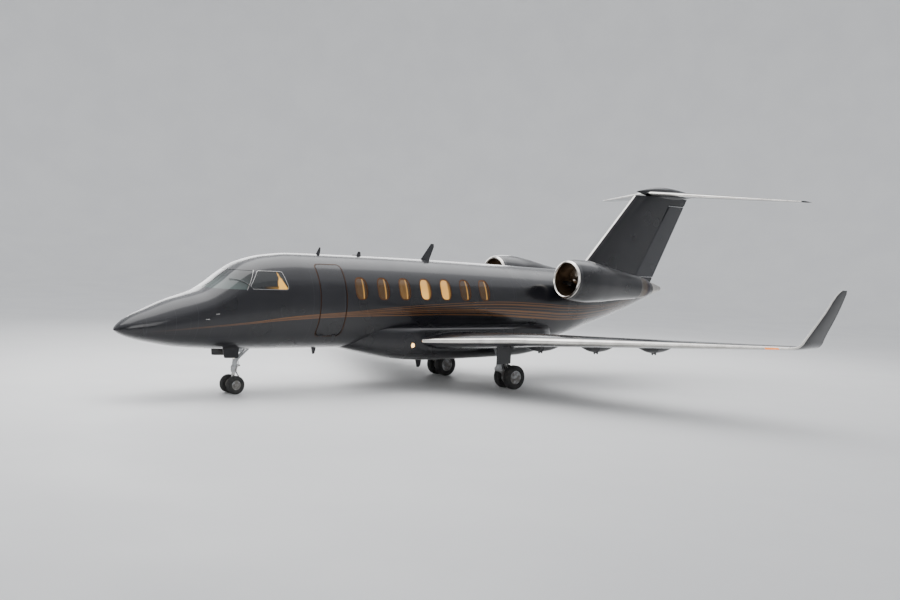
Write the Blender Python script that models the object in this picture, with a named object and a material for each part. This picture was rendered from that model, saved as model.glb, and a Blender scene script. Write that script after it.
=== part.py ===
"""Business jet with two aft engines, a T-tail and winglets, parked on its gear.

Metres. X runs aft, Y to starboard and Z up. The ground is z = 0 and X = 0 is half-way along.
Lengths along the body are given as stations, in metres aft of the nose tip.
"""
import math

import bmesh
import bpy
import numpy as np
from mathutils import Matrix, Vector

# Whole aircraft
LENGTH = 20.93
SEAT = 0.0003          # gap where one piece rests on another
PLAY = 0.008           # gap in front of a piece that moves
NOSE_PLAY = 0.012      # gap before the round nose of a rudder or elevator
END_PLAY = 0.014       # gap at the ends of a control surface, whose hinge line is swept
WALL = 0.07            # cabin wall with its frames and trim
PANE_GAP = 0.0006       # gap round a pane in its opening
PANE_DEPTH = 0.006      # a pane lies this far behind the skin
SIDES = {"left": -1, "right": 1}

# Fuselage lines: (station, value)
CROWN_LINE = [(0, 1.63), (0.12, 1.768), (0.35, 1.933), (0.8, 2.144), (1.3, 2.352), (1.7, 2.475),
              (2.05, 2.59), (2.4, 2.795), (2.8, 3.09), (3.2, 3.32), (3.8, 3.476), (4.6, 3.545),
              (6.5, 3.535), (13.5, 3.366), (16.5, 3.21), (18.25, 3.05), (18.83, 2.90)]
KEEL_LINE = [(0, 1.61), (0.12, 1.522), (0.35, 1.429), (0.8, 1.319), (1.6, 1.192), (2.8, 1.121),
             (5.0, 1.104), (12.7, 1.115), (13.8, 1.265), (15.07, 1.602), (16.85, 2.092),
             (18.25, 2.57), (18.83, 2.74)]
WAIST_LINE = [(0, 1.62), (0.35, 1.66), (1.0, 1.76), (2.0, 1.97), (3.0, 2.16), (4.6, 2.31),
              (12.5, 2.31), (15.0, 2.52), (18.25, 2.81), (18.83, 2.82)]
BREADTH_LINE = [(0, 0.012), (0.05, 0.14), (0.15, 0.25), (0.35, 0.385), (0.7, 0.55), (1.1, 0.69),
                (1.6, 0.82), (2.1, 0.92), (2.7, 1.015), (3.3, 1.085), (3.9, 1.135), (4.6, 1.17),
                (12.2, 1.17), (14.0, 1.07), (15.5, 0.86), (16.8, 0.61), (18.25, 0.27), (18.83, 0.085)]
FULLNESS_LINE = [(0, 2.0), (1.2, 2.0), (1.8, 2.2), (2.3, 2.42), (2.8, 2.42), (3.4, 2.2), (4.4, 2.0),
                 (18.83, 2.0)]

# Fuselage joints
RADOME_END = 0.60
NOSE_END = 1.72
COCKPIT_END = 4.66
CABIN_END = 11.43
BODY_END = 18.25
TAIL_TIP = 18.83
BULKHEAD = 0.05
SKIN_REACH = 1.5        # far enough out to pass any wall of the fuselage

# Cabin windows and airstair door
WINDOW_COUNT = 7
WINDOW_FIRST = 6.11
WINDOW_PITCH = 0.691
WINDOW_HEIGHT = 2.72
WINDOW_SIZE = (0.385, 0.575)
WINDOW_POINTS = 12
DOOR_FRONT = 4.88
DOOR_REAR = 5.63
DOOR_SILL = 1.50
DOOR_HEAD = 3.32
DOOR_RAKE = 0.17        # rise of the door's edges for each metre outwards
DOOR_CORNER = 0.10
DOOR_FOOT_CORNER = 0.14     # the door's own lower corners, which dip as it swings out
DOOR_HINGES = (5.06, 5.45)
DOOR_HINGE_SIZE = 0.7
DOOR_CLEARANCE = 0.738      # the floor stops this far out, clear of the door's swinging sill
HINGE_Y = -0.871
STEP_HEIGHTS = (1.72, 2.02, 2.34, 2.66)
STEP_TILT = math.radians(50)
STEP_DEPTH = 0.21
STEP_THICKNESS = 0.025
STEP_MARGIN = 0.12          # from the door's side edge to the end of a step

# Cockpit glazing outlines, as (station, height) of the port side seen from the side
SIDE_WINDOW = [(2.97, 2.672), (3.27, 3.085), (3.87, 3.085), (3.98, 2.672)]
SIDE_WINDOW_CORNER = 0.05
FRONT_POST = 0.045      # half-width of the post between the two front panes
FRONT_PANE_SILL = 2.645
FRONT_PANE_HEAD = 3.10
FRONT_PANE_REAR = (2.90, 3.17)      # stations of the raked rear edge at sill and head
PANE_STRIP = 0.006                  # thickness of the strip that carries the panes

# Floor, and the glare shield and pilots' seats on it
FLOOR_FRONT = 1.80
FLOOR_HEIGHT = 1.56
FLOOR_THICKNESS = 0.05
SHIELD_SPAN = (2.0, 2.55)
SHIELD_SIDE = 0.78
SHIELD_HEIGHT = 2.50
SEAT_SIDE = 0.45
SEAT_WIDTH = 0.48
CUSHION = (3.35, 3.85, 2.00)        # front, rear, height
BACKREST = (3.72, 3.86, 2.72)

# Belly fairing: (station, value)
FAIRING_KEEL = [(6.0, 1.13), (6.47, 1.014), (7.12, 0.878), (7.79, 0.785), (8.6, 0.742),
                (9.6, 0.745), (11.67, 0.79), (12.6, 0.93), (13.4, 1.17)]
FAIRING_BREADTH = [(6.0, 0.35), (6.5, 0.80), (7.1, 1.10), (7.7, 1.28), (8.2, 1.33), (12.2, 1.33),
                   (12.8, 1.12), (13.4, 0.55)]
FAIRING_MIDDLE = 1.42
FAIRING_RISE = 0.42
FAIRING_SIDE = 1.27     # flat side that carries the wing root

# Wing stations: (half-span place, leading edge station, leading edge height, chord, thickness ratio)
WING_ROOT = (1.27, 8.01, 1.356, 4.10, 0.125)
WING_KINK = (3.6, 9.24, 1.572, 2.90, 0.115)
WING_TIP = (9.60, 12.40, 1.947, 0.95, 0.105)
WING_INCIDENCE = math.radians(1.6)
WING_LIFT = 0.012       # camber as a share of the chord
FLAP_SPAN = (1.325, 6.35)
FLAP_FRONT = 0.755      # share of the chord where the flap's nose lies
AILERON_SPAN = (6.55, 9.25)
AILERON_FRONT = 0.74
AILERON_PIN = 0.008
JACK_PLACE = 2.9        # jacking pad under the front spar
JACK_SHARE = 0.28
JACK_HEIGHT = 1.27
JACK_RADIUS = 0.05
TRACK_PLACES = [2.35, 4.1, 5.8]
TRACK_DEPTH = 0.206     # from the skin down to the flap's hinge line
HINGE_DROP = 0.006      # the hinge line lies just under the fairings
CHEEKS = (0.034, 0.054)     # the fixed hinge cheeks lie between these distances from the middle
CHEEK_RADIUS = 0.038
BARREL = (0.028, 0.020)     # half-length and radius of the turning barrel between them
HINGE_PIN = 0.010
HINGE_ROUND = 12
HINGE_PLAY = 0.001          # end gap left of a barrel once its cheeks' space is cut
TRACK_WIDTH = 0.11      # half-width
TRACK_SUNK = 0.03
TRACK_FRONT = [(0.75, 0.05), (0.5, 0.5), (0.25, 0.85), (0.0, 1.0)]      # (distance, share of the depth)
TRACK_REAR = [(0.006, 1.0), (0.35, 0.85), (0.65, 0.5), (0.9, 0.12)]
FLAP_UNDERCUT = 0.25    # the flap's lower front edge lies this share of its height behind the upper one
TRACK_STEP = 0.002      # the fixed half ends this far ahead of the wing's rear face
# Winglet stations: (half-span place, leading edge station, height, chord, lean from level)
WINGLET_STATIONS = [(9.603, 12.402, 1.947, 0.95, 4), (9.74, 12.45, 1.975, 0.92, 30),
                    (9.84, 12.50, 2.05, 0.87, 60), (9.90, 12.55, 2.17, 0.80, 74),
                    (10.13, 12.92, 2.80, 0.56, 74), (10.28, 13.19, 3.28, 0.36, 74),
                    (10.30, 13.33, 3.36, 0.20, 74)]
WINGLET_THICKNESS = 0.09

# Fin and rudder: (height, leading edge station, chord)
FIN_FOOT = (2.95, 14.62, 3.72)
FIN_HEAD = (5.86, 17.41, 2.60)
FIN_THICKNESS = 0.095
RUDDER_SPAN = (3.20, 5.585)
RUDDER_LIFT = 0.045     # the swept hinge lifts the rudder's rear corner as it turns
RUDDER_DROP = 0.028     # and lowers one side of its foot
RUDDER_PIN = 0.012
RUDDER_FRONT_FOOT = (3.316, 17.63)
RUDDER_FRONT_HEAD = (5.563, 19.07)

# Tailplane, its bullet fairing and elevators: (half-span place, leading edge station, height, chord)
TAIL_ROOT = (0.0, 17.83, 5.955, 1.93)
TAIL_TIP_LINE = (4.26, 20.37, 5.845, 0.56)
TAIL_THICKNESS = 0.09
ELEVATOR_SPAN = (0.36, 4.02)
ELEVATOR_FRONT = 0.66
ELEVATOR_PIN = 0.006
BULLET_FRONT = 17.46
BULLET_REAR = 20.36
BULLET_HEIGHT = 5.985
BULLET_RADIUS = 0.205

# Engines
INLET_STATION = 12.87
INLET_SIDE = 1.63
INLET_HEIGHT = 3.11
ENGINE_TILT = math.radians(3.4)
LIP_DEPTH = 0.14
COWL_LENGTH = 2.90
COWL_LINE = [(0.0, 0.505), (0.02, 0.538), (0.07, 0.563), (0.14, 0.582), (0.35, 0.608), (0.7, 0.622),
             (1.3, 0.575), (2.1, 0.465), (2.90, 0.372)]
DUCT_RADIUS = 0.445
DUCT_LINE = [(0.0, 0.505), (0.02, 0.482), (0.07, 0.466), (0.14, 0.455), (0.35, DUCT_RADIUS),
             (1.3, DUCT_RADIUS), (2.1, 0.385), (2.90, 0.335)]
NOZZLE_LINE = [(2.90, 0.366), (3.15, 0.322), (3.38, 0.285)]
FAN_STATION = 0.50
FAN_RADIUS = 0.432
FAN_BLADES = 14
FAN_HUB = 0.14
CORE_FRONT = 0.72
CORE_REAR = 3.05
PYLON_FRONT = 0.30
PYLON_LENGTH = 2.55
PYLON_THICKNESS = 0.20

# Nose gear
NOSE_WHEEL_STATION = 3.10
NOSE_WHEEL_SIDE = 0.18
NOSE_TYRE_RADIUS = 0.2285
NOSE_TYRE_WIDTH = 0.145
NOSE_RIM = 0.118
NOSE_AXLE = 0.028
STEER_HEIGHT = 0.62
NOSE_LEG_FOOT = (0.035, 0, STEER_HEIGHT)    # from the wheel station on the ground
NOSE_LEG_TOP = (0.10, 0, 1.30)
NOSE_FORK_LENGTH = 0.37
# Bars of the gear: start, end, radius and sides. X is from the wheel station, Y from the leg outwards
NOSE_LEG_BARS = {
    "trunnion": ((0.08, -0.22, 1.10), (0.08, 0.22, 1.10), 0.05, 8),
    "brace_left": ((0.05, -0.03, 0.80), (0.50, -0.10, 1.25), 0.026, 6),
    "brace_right": ((0.05, 0.03, 0.80), (0.50, 0.10, 1.25), 0.026, 6),
    "lamp_bar": ((0.01, -0.13, 0.92), (0.01, 0.13, 0.92), 0.02, 6),
    "lamp_left": ((-0.05, -0.13, 0.92), (0.04, -0.13, 0.92), 0.05, 10),
    "lamp_right": ((-0.05, 0.13, 0.92), (0.04, 0.13, 0.92), 0.05, 10)}
NOSE_FORK_BARS = {
    "axle_block": ((0, -0.07, NOSE_TYRE_RADIUS), (0, 0.07, NOSE_TYRE_RADIUS), 0.055, 12),
    "link_low": ((0.03, 0, 0.2785), (0.17, 0, 0.4285), 0.018, 6),
    "link_high": ((0.17, 0, 0.4285), (0.075, 0, 0.565), 0.018, 6)}
NOSE_DOOR = [(2.62, 1.30), (2.68, 0.93), (3.06, 0.92), (3.10, 1.30)]    # (station, height)
NOSE_DOOR_TOP = 1.30
NOSE_DOOR_SIDE = 0.29       # at its upper edge
NOSE_DOOR_LEAN = 0.10
NOSE_DOOR_THICKNESS = 0.022

# Main gear
MAIN_WHEEL_STATION = 10.94
MAIN_LEG_SIDE = 1.55
MAIN_WHEEL_SIDE = 0.20
MAIN_TYRE_RADIUS = 0.336
MAIN_TYRE_WIDTH = 0.205
MAIN_RIM = 0.19
MAIN_AXLE = 0.040
MAIN_LEG_BARS = {
    "strut": ((-0.42, 0, 0.56), (-0.36, 0, 1.16), 0.085, 12),
    "knee": ((-0.42, -0.085, 0.56), (-0.42, 0.085, 0.56), 0.075, 12),
    "arm": ((-0.42, 0, 0.56), (0, 0, MAIN_TYRE_RADIUS), 0.055, 8),
    "hub": ((0, -0.085, MAIN_TYRE_RADIUS), (0, 0.085, MAIN_TYRE_RADIUS), 0.075, 12),
    "shock_rod": ((-0.08, 0, 0.386), (-0.22, 0, 0.86), 0.04, 8),
    "shock_case": ((-0.17, 0, 0.74), (-0.28, 0, 1.12), 0.058, 8),
    "side_stay": ((-0.40, 0, 0.78), (-0.40, -0.25, 1.16), 0.03, 6)}
MAIN_DOOR = ((-0.62, 0.125, 0.71), (-0.10, 0.145, 1.16))        # low and high corner
MAIN_DOOR_ARM = ((-0.44, -0.005, 0.86), (-0.36, 0.13, 0.92))

ROUND = 24              # sides of a turned piece
WHEEL_ROUND = 20
HULL_ROUND = 28         # sides of the fuselage's section
PIN_ROUND = 10
PIN_REACH = 0.08        # depth of a hinge pin in each piece it joins
FOIL_SHARES = [0.0, 0.012, 0.05, 0.12, 0.24, 0.40, 0.56, 0.72, 0.86, 1.0]
EDGE = 0.004            # half-thickness of a trailing edge


def clear_scene():
    for item in list(bpy.data.objects):
        bpy.data.objects.remove(item, do_unlink=True)


def along(station):
    """X of a station."""
    return station - LENGTH / 2


def smooth_line(points):
    """A curve through the points with no overshoot: cubic pieces with monotone slopes."""
    knots, values = np.array(points, float).T
    steps = np.diff(knots)
    slopes = np.diff(values) / steps
    tangents = np.r_[slopes[0], np.zeros(len(knots) - 2), slopes[-1]]
    for i in range(1, len(knots) - 1):
        before, after = slopes[i - 1], slopes[i]
        if before * after > 0:
            near = 2 * steps[i] + steps[i - 1]
            far = steps[i] + 2 * steps[i - 1]
            tangents[i] = (near + far) / (near / before + far / after)

    def value(place):
        i = int(np.clip(np.searchsorted(knots, place) - 1, 0, len(steps) - 1))
        t = (place - knots[i]) / steps[i]
        t = min(max(t, 0.0), 1.0)
        rise = values[i + 1] - values[i]
        start = tangents[i] * steps[i]
        end = tangents[i + 1] * steps[i]
        return float(values[i] + start * t + (3 * rise - 2 * start - end) * t ** 2
                     + (start + end - 2 * rise) * t ** 3)
    return value


CROWN = smooth_line(CROWN_LINE)
KEEL = smooth_line(KEEL_LINE)
WAIST = smooth_line(WAIST_LINE)
BREADTH = smooth_line(BREADTH_LINE)
FULLNESS = smooth_line(FULLNESS_LINE)


def power(value, exponent):
    return math.copysign(abs(value) ** exponent, value)


def material(name, colour, roughness, metallic):
    finish = bpy.data.materials.new(name)
    finish.use_nodes = True
    shader = finish.node_tree.nodes["Principled BSDF"]
    shader.inputs["Base Color"].default_value = (*colour, 1)
    shader.inputs["Roughness"].default_value = roughness
    shader.inputs["Metallic"].default_value = metallic
    return finish


def make_materials():
    return {
        "black_paint": material("black_paint", (0.008, 0.008, 0.012), 0.12, 0.0),
        "grey_paint": material("grey_paint", (0.03, 0.03, 0.034), 0.25, 0.0),
        "bright_metal": material("bright_metal", (0.82, 0.80, 0.76), 0.12, 1.0),
        "engine_metal": material("engine_metal", (0.36, 0.35, 0.34), 0.35, 1.0),
        "gear_metal": material("gear_metal", (0.55, 0.55, 0.55), 0.4, 0.8),
        "fan_metal": material("fan_metal", (0.30, 0.28, 0.26), 0.3, 1.0),
        "windscreen_glass": material("windscreen_glass", (0.10, 0.14, 0.13), 0.05, 0.0),
        "cabin_glass": material("cabin_glass", (0.75, 0.50, 0.18), 0.1, 0.0),
        "tyre_rubber": material("tyre_rubber", (0.015, 0.015, 0.015), 0.8, 0.0),
        "cabin_trim": material("cabin_trim", (0.30, 0.20, 0.11), 0.7, 0.0),
    }


def new_object(name, mesh, finish=None):
    item = bpy.data.objects.new(name, mesh)
    bpy.context.collection.objects.link(item)
    if finish is not None:
        mesh.materials.append(finish)
    return item


def finish_mesh(name, bm, finish=None):
    """Turns a bmesh into an object with its faces pointing out."""
    bmesh.ops.remove_doubles(bm, verts=bm.verts, dist=1e-6)
    bmesh.ops.recalc_face_normals(bm, faces=bm.faces)
    mesh = bpy.data.meshes.new(name)
    bm.to_mesh(mesh)
    bm.free()
    return new_object(name, mesh, finish)


def skin_between(bm, near, far):
    """Triangles between two rings. The split runs the same way whichever ring comes first."""
    count = max(len(near), len(far))
    if near[0].co.x > far[0].co.x:
        near, far = far, near
    for i in range(count):
        j = (i + 1) % count
        a, b = near[i % len(near)], near[j % len(near)]
        c, d = far[j % len(far)], far[i % len(far)]
        for corners in ((a, b, c), (a, c, d)):
            if len(set(corners)) == 3:
                bm.faces.new(corners)


def loft(name, rings, finish=None):
    """Skin over rings of points. A ring of one point closes to a tip, others get a flat cap."""
    bm = bmesh.new()
    loops = [[bm.verts.new(point) for point in ring] for ring in rings]
    for near, far in zip(loops, loops[1:]):
        skin_between(bm, near, far)
    for loop in (loops[0], loops[-1]):
        if len(loop) > 2:
            bm.faces.new(loop)
    return finish_mesh(name, bm, finish)


def wrap(name, rings, finish=None):
    """Skin over rings whose last one joins the first again, as on a tube with a wall."""
    bm = bmesh.new()
    loops = [[bm.verts.new(point) for point in ring] for ring in rings]
    for near, far in zip(loops, loops[1:] + loops[:1]):
        skin_between(bm, near, far)
    return finish_mesh(name, bm, finish)


def prism(name, outline, direction, finish=None):
    """An outline of points moved along a direction."""
    shift = Vector(direction)
    return loft(name, [outline, [Vector(point) + shift for point in outline]], finish)


def cutter(item):
    item.display_type = "WIRE"
    item.hide_render = True
    item.hide_viewport = True
    return item


def boolean(item, other, operation):
    change = item.modifiers.new(operation.lower(), "BOOLEAN")
    change.operation = operation
    change.object = cutter(other)
    return item


def cut(item, *others):
    for other in others:
        boolean(item, other, "DIFFERENCE")
    return item


def keep_inside(item, other):
    return boolean(item, other, "INTERSECT")


def fuse(item, *others):
    for other in others:
        boolean(item, other, "UNION")
    return item


def turned(name, profile, place, axis="X", sides=ROUND, half_step=False, finish=None):
    """A ring-shaped body: a closed profile of (along, radius) turned about an axis."""
    turn = {"X": Matrix.Identity(3), "Y": Matrix.Rotation(math.radians(90), 3, "Z"),
            "Z": Matrix.Rotation(math.radians(-90), 3, "Y")}[axis]
    rings = []
    first = 0.5 if half_step else 0.0
    for distance, radius in profile:
        if radius == 0:
            rings.append([Vector(place) + turn @ Vector((distance, 0, 0))])
            continue
        ring = []
        for i in range(sides):
            angle = (i + first) / sides * math.tau
            point = Vector((distance, radius * math.sin(angle), -radius * math.cos(angle)))
            ring.append(Vector(place) + turn @ point)
        rings.append(ring)
    if profile[0][1] > 0 and profile[-1] == profile[0]:
        return wrap(name, rings[:-1], finish)
    return loft(name, rings, finish)


def spindle(name, middle, direction, profile, sides=12, finish=None):
    """A round body about a line: (distance, radius) pairs from the middle, with flat ends."""
    side = direction.orthogonal().normalized()
    other = direction.cross(side)
    rings = []
    for distance, radius in profile:
        centre = middle + direction * distance
        rings.append([centre + radius * (math.cos(i / sides * math.tau) * side
                                         + math.sin(i / sides * math.tau) * other)
                      for i in range(sides)])
    return loft(name, rings, finish)


def rod(name, start, end, radius, sides=12, finish=None):
    """A round bar between two points."""
    start, end = Vector(start), Vector(end)
    length = (end - start).length
    return spindle(name, start, (end - start).normalized(), [(0, radius), (length, radius)], sides, finish)


def bore_radius(radius, sides):
    """Radius at the corners of a bore whose flats clear a pin by the seating gap."""
    return (radius + SEAT) / math.cos(math.pi / sides)


def pivot(name, place, *items):
    """An empty on a joint's axis that carries what turns about it."""
    empty = bpy.data.objects.new(name + "_pivot", None)
    bpy.context.collection.objects.link(empty)
    empty.location = place
    for item in items:
        item.parent = empty
        item.matrix_parent_inverse = Matrix.Translation(place).inverted()


def hinge_pins(fixed, moving, near, far, radius):
    """A surface hung between two pins, one at each end of its hinge line."""
    line = (far - near).normalized()
    for number, (end, out) in enumerate(((near, -line), (far, line))):
        name = "%s_pin_%d" % (moving.name, number)
        fuse(fixed, rod(name, end - out * PIN_REACH, end + out * PIN_REACH, radius, PIN_ROUND))
        cut(moving, rod(name + "_bore", end - out * (PIN_REACH + PLAY), end + out * PIN_REACH,
                        bore_radius(radius, PIN_ROUND), PIN_ROUND))
    pivot(moving.name, near, moving)


def box(name, low, high, finish=None):
    x0, y0, z0 = low
    x1, y1, z1 = high
    outline = [(x0, y0, z0), (x1, y0, z0), (x1, y1, z0), (x0, y1, z0)]
    return prism(name, outline, (0, 0, z1 - z0), finish)


# Fuselage

def hull_ring(station, inset=0.0, sides=HULL_ROUND):
    """Section of the fuselage, drawn in by the inset. The upper half may be fuller than an ellipse."""
    waist = WAIST(station)
    across = max(BREADTH(station) - inset, 0.004)
    up = max(CROWN(station) - waist - inset, 0.004)
    down = max(waist - KEEL(station) - inset, 0.004)
    swell = 2 / FULLNESS(station)
    ring = []
    for i in range(sides):
        angle = i / sides * math.tau
        rise, out = math.cos(angle), math.sin(angle)
        if rise > 1e-9:
            ring.append(Vector((along(station), across * power(out, swell), waist + up * power(rise, swell))))
        else:
            ring.append(Vector((along(station), across * out, waist + down * rise)))
    return ring


def stations(start, end, step):
    count = max(1, round((end - start) / step))
    return [start + (end - start) * i / count for i in range(count + 1)]


def hull_stations(start, end):
    """Stations close together where the lines bend and far apart along the cabin."""
    marks = [0, 0.03, 0.08, 0.16, 0.30, RADOME_END]
    marks += stations(RADOME_END, NOSE_END, 0.4) + stations(NOSE_END, 3.6, 0.27) + [3.6, 4.1, COCKPIT_END]
    marks += [6.5, CABIN_END, 12.7]
    marks += stations(12.7, BODY_END, 0.95) + [BODY_END, 18.6, TAIL_TIP]
    inside = sorted({round(mark, 4) for mark in marks if start + 1e-4 < mark < end - 1e-4})
    return [start] + inside + [end]


def hull_solid(name, start, end, inset=0.0, finish=None):
    return loft(name, [hull_ring(place, inset) for place in hull_stations(start, end)], finish)


def hull_tube(name, start, end, outer, inner, finish=None):
    """The fuselage's wall between two stations, open at both ends."""
    places = hull_stations(start, end)
    rings = [hull_ring(place, outer) for place in places]
    rings += [hull_ring(place, inner) for place in reversed(places)]
    return wrap(name, rings, finish)


def hull_space(name):
    """The whole outer form with the seating gap, to cut what rests on the fuselage."""
    return hull_solid(name, 0.0, TAIL_TIP, -SEAT)


def rounded(points, radii, steps=3):
    """An outline with its corners turned into arcs, each with its own radius."""
    outline = []
    count = len(points)
    for i, radius in enumerate(radii):
        corner = Vector(points[i])
        before = (Vector(points[i - 1]) - corner).normalized()
        after = (Vector(points[(i + 1) % count]) - corner).normalized()
        half = before.angle(after) / 2
        reach = radius / math.tan(half)
        centre = corner + (before + after).normalized() * radius / math.sin(half)
        start = corner + before * reach - centre
        end = corner + after * reach - centre
        for k in range(steps + 1):
            outline.append(centre + start.slerp(end, k / steps).normalized() * radius)
    return outline


def shrunk(points, margin):
    """The outline moved inwards by a margin, for a pane or door in its opening."""
    count = len(points)
    area = sum(points[i].x * points[(i + 1) % count].y - points[(i + 1) % count].x * points[i].y
               for i in range(count))
    turn = 1 if area > 0 else -1
    result = []
    for i in range(count):
        tangent = (points[(i + 1) % count] - points[i - 1]).normalized()
        result.append(points[i] + turn * margin * Vector((-tangent.y, tangent.x)))
    return result


def side_prism(name, outline, side, rake=0.0):
    """A (station, height) outline taken out through one side of the aircraft."""
    def at(depth):
        return [Vector((along(p.x), side * depth, p.y + rake * (depth - abs(HINGE_Y)))) for p in outline]
    return loft(name, [at(0.3), at(SKIN_REACH)])


def window_outline(station, margin=0.0):
    """An upright oval with full shoulders."""
    width, height = WINDOW_SIZE
    points = []
    for i in range(WINDOW_POINTS):
        angle = (i + 0.5) / WINDOW_POINTS * math.tau
        points.append(Vector((station + (width / 2 - margin) * power(math.cos(angle), 0.72),
                              WINDOW_HEIGHT + (height / 2 - margin) * power(math.sin(angle), 0.72))))
    return points


def window_stations():
    return [WINDOW_FIRST + WINDOW_PITCH * i for i in range(WINDOW_COUNT)]


def window_cutter(name, side, margin=0.0):
    """All the windows of one side as one set of prisms."""
    bm = bmesh.new()
    for station in window_stations():
        rings = [[bm.verts.new((along(p.x), side * depth, p.y)) for p in window_outline(station, margin)]
                 for depth in (0.75, SKIN_REACH)]
        count = len(rings[0])
        for i in range(count):
            j = (i + 1) % count
            bm.faces.new((rings[0][i], rings[0][j], rings[1][j], rings[1][i]))
        bm.faces.new(rings[0])
        bm.faces.new(rings[1])
    return finish_mesh(name, bm)


def door_outline(margin=0.0, foot_corner=DOOR_CORNER):
    corners = [(DOOR_FRONT, DOOR_SILL), (DOOR_REAR, DOOR_SILL), (DOOR_REAR, DOOR_HEAD),
               (DOOR_FRONT, DOOR_HEAD)]
    radii = [foot_corner, foot_corner, DOOR_CORNER, DOOR_CORNER]
    return shrunk(rounded(corners, radii), margin)


def side_window_outline(margin=0.0):
    return shrunk(rounded(SIDE_WINDOW, [SIDE_WINDOW_CORNER] * 4), margin)


def front_pane_prism(name, side, margin=0.0):
    """The space of one front pane: beside the post, above the sill, ahead of the side window."""
    post = FRONT_POST + margin
    sill, head = FRONT_PANE_SILL + margin, FRONT_PANE_HEAD - margin
    foot_rear, head_rear = (station - margin for station in FRONT_PANE_REAR)
    outline = [(NOSE_END, sill), (foot_rear, sill), (head_rear, head), (NOSE_END, head)]
    rings = []
    for depth in (post, SKIN_REACH):
        rings.append([Vector((along(s), side * depth, z)) for s, z in outline])
    return loft(name, rings)


def make_fuselage(finishes):
    paint = finishes["black_paint"]
    hull_solid("radome", 0.0, RADOME_END, 0.0, paint)
    hull_solid("nose", RADOME_END + SEAT, NOSE_END, 0.0, paint)

    cockpit = hull_tube("cockpit_shell", NOSE_END + SEAT, COCKPIT_END, 0.0, WALL, paint)
    for label, side in SIDES.items():
        cut(cockpit, front_pane_prism("front_opening_" + label, side),
            side_prism("side_opening_" + label, side_window_outline(), side))

    cabin = hull_tube("cabin_shell", COCKPIT_END + SEAT, CABIN_END, 0.0, WALL, paint)
    for label, side in SIDES.items():
        cut(cabin, window_cutter("window_openings_" + label, side))
    cut(cabin, side_prism("door_opening", door_outline(), -1, DOOR_RAKE))
    fuse(cabin, blade("antenna_front", 5.36, 3.50, 0.13, 0.05, 0.22, 0.10, 0.018),
         blade("antenna_middle", 6.62, 3.50, 0.16, 0.08, 0.15, 0.06, 0.022),
         blade("antenna_rear", 8.76, 3.46, 0.32, 0.15, 0.49, 0.36, 0.035),
         blade("antenna_low", 5.34, 1.13, 0.16, 0.07, -0.20, 0.05, 0.022))

    aft = hull_tube("aft_body", CABIN_END + SEAT, BODY_END, 0.0, WALL * 0.8, paint)
    places = hull_stations(CABIN_END + SEAT, CABIN_END + SEAT + BULKHEAD)
    fuse(aft, loft("aft_bulkhead", [hull_ring(place, WALL * 0.4) for place in places]))

    hull_solid("tail_cone", BODY_END + SEAT, TAIL_TIP, 0.0, finishes["engine_metal"])
    return cabin


def blade(name, station, foot, chord, tip_chord, height, sweep, thickness):
    """A thin swept antenna with pointed edges."""
    rings = []
    for share, length in ((0.0, chord), (1.0, tip_chord)):
        x = along(station) + sweep * share
        z = foot + height * share
        rings.append([(x, 0, z), (x + 0.4 * length, thickness / 2, z), (x + length, 0, z),
                      (x + 0.4 * length, -thickness / 2, z)])
    return loft(name, rings)


def make_glass(finishes):
    """Cockpit panes and cabin panes, each set carried by a strip behind the wall."""
    cockpit = (NOSE_END + SEAT, COCKPIT_END)
    cabin = (COCKPIT_END + SEAT, CABIN_END)
    for label, side in SIDES.items():
        panes = pane_strip("cockpit_glass_" + label, cockpit, side, (2.7, 3.5), (2.78, 2.88),
                           finishes["windscreen_glass"])
        for shape in (front_pane_prism("front_pane_" + label, side, PANE_GAP),
                      side_prism("side_pane_" + label, side_window_outline(PANE_GAP), side)):
            boss = hull_tube(shape.name + "_boss", *cockpit, PANE_DEPTH, WALL + PANE_STRIP / 2)
            fuse(panes, keep_inside(boss, shape))

        panes = pane_strip("cabin_glass_" + label, cabin, side, (5.98, 10.4), (2.66, 2.78),
                           finishes["cabin_glass"])
        bosses = hull_tube("pane_bosses_" + label, *cabin, PANE_DEPTH, WALL + PANE_STRIP / 2)
        fuse(panes, keep_inside(bosses, window_cutter("pane_shapes_" + label, side, PANE_GAP)))


def pane_strip(name, reach, side, length, height, finish):
    """The thin strip on the wall's inner face that holds a row of panes together."""
    strip = hull_tube(name, *reach, WALL + SEAT, WALL + PANE_STRIP, finish)
    low, high = sorted((side * 0.5, side * SKIN_REACH))
    band = box(name + "_band", (along(length[0]), low, height[0]), (along(length[1]), high, height[1]))
    return keep_inside(strip, band)


def make_door(cabin, finishes):
    """The airstair door, its steps on the inner face and its two hinges at the sill."""
    door = hull_tube("cabin_door", COCKPIT_END + SEAT, CABIN_END, 0.0, WALL, finishes["black_paint"])
    keep_inside(door, side_prism("door_form", door_outline(PLAY, DOOR_FOOT_CORNER), -1, DOOR_RAKE))
    out = Vector((0, math.cos(STEP_TILT), math.sin(STEP_TILT)))
    thick = Vector((0, -out.z, out.y)) * STEP_THICKNESS
    for number, height in enumerate(STEP_HEIGHTS):
        wall = section_breadth(DOOR_FRONT, height, WALL)
        foot = Vector((along(DOOR_FRONT + STEP_MARGIN), -wall - 0.01, height))
        tip = foot + out * STEP_DEPTH
        length = DOOR_REAR - DOOR_FRONT - 2 * STEP_MARGIN
        fuse(door, prism("step_%d" % number, [foot, tip, tip + thick, foot + thick], (length, 0, 0)))
    for number, station in enumerate(DOOR_HINGES):
        middle = Vector((along(station), HINGE_Y, DOOR_SILL))
        hinge(cabin, door, "door_hinge_%d" % number, middle, Vector((1, 0, 0)), DOOR_HINGE_SIZE)
    pivot("cabin_door", Vector((along((DOOR_FRONT + DOOR_REAR) / 2), HINGE_Y, DOOR_SILL)), door)


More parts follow.
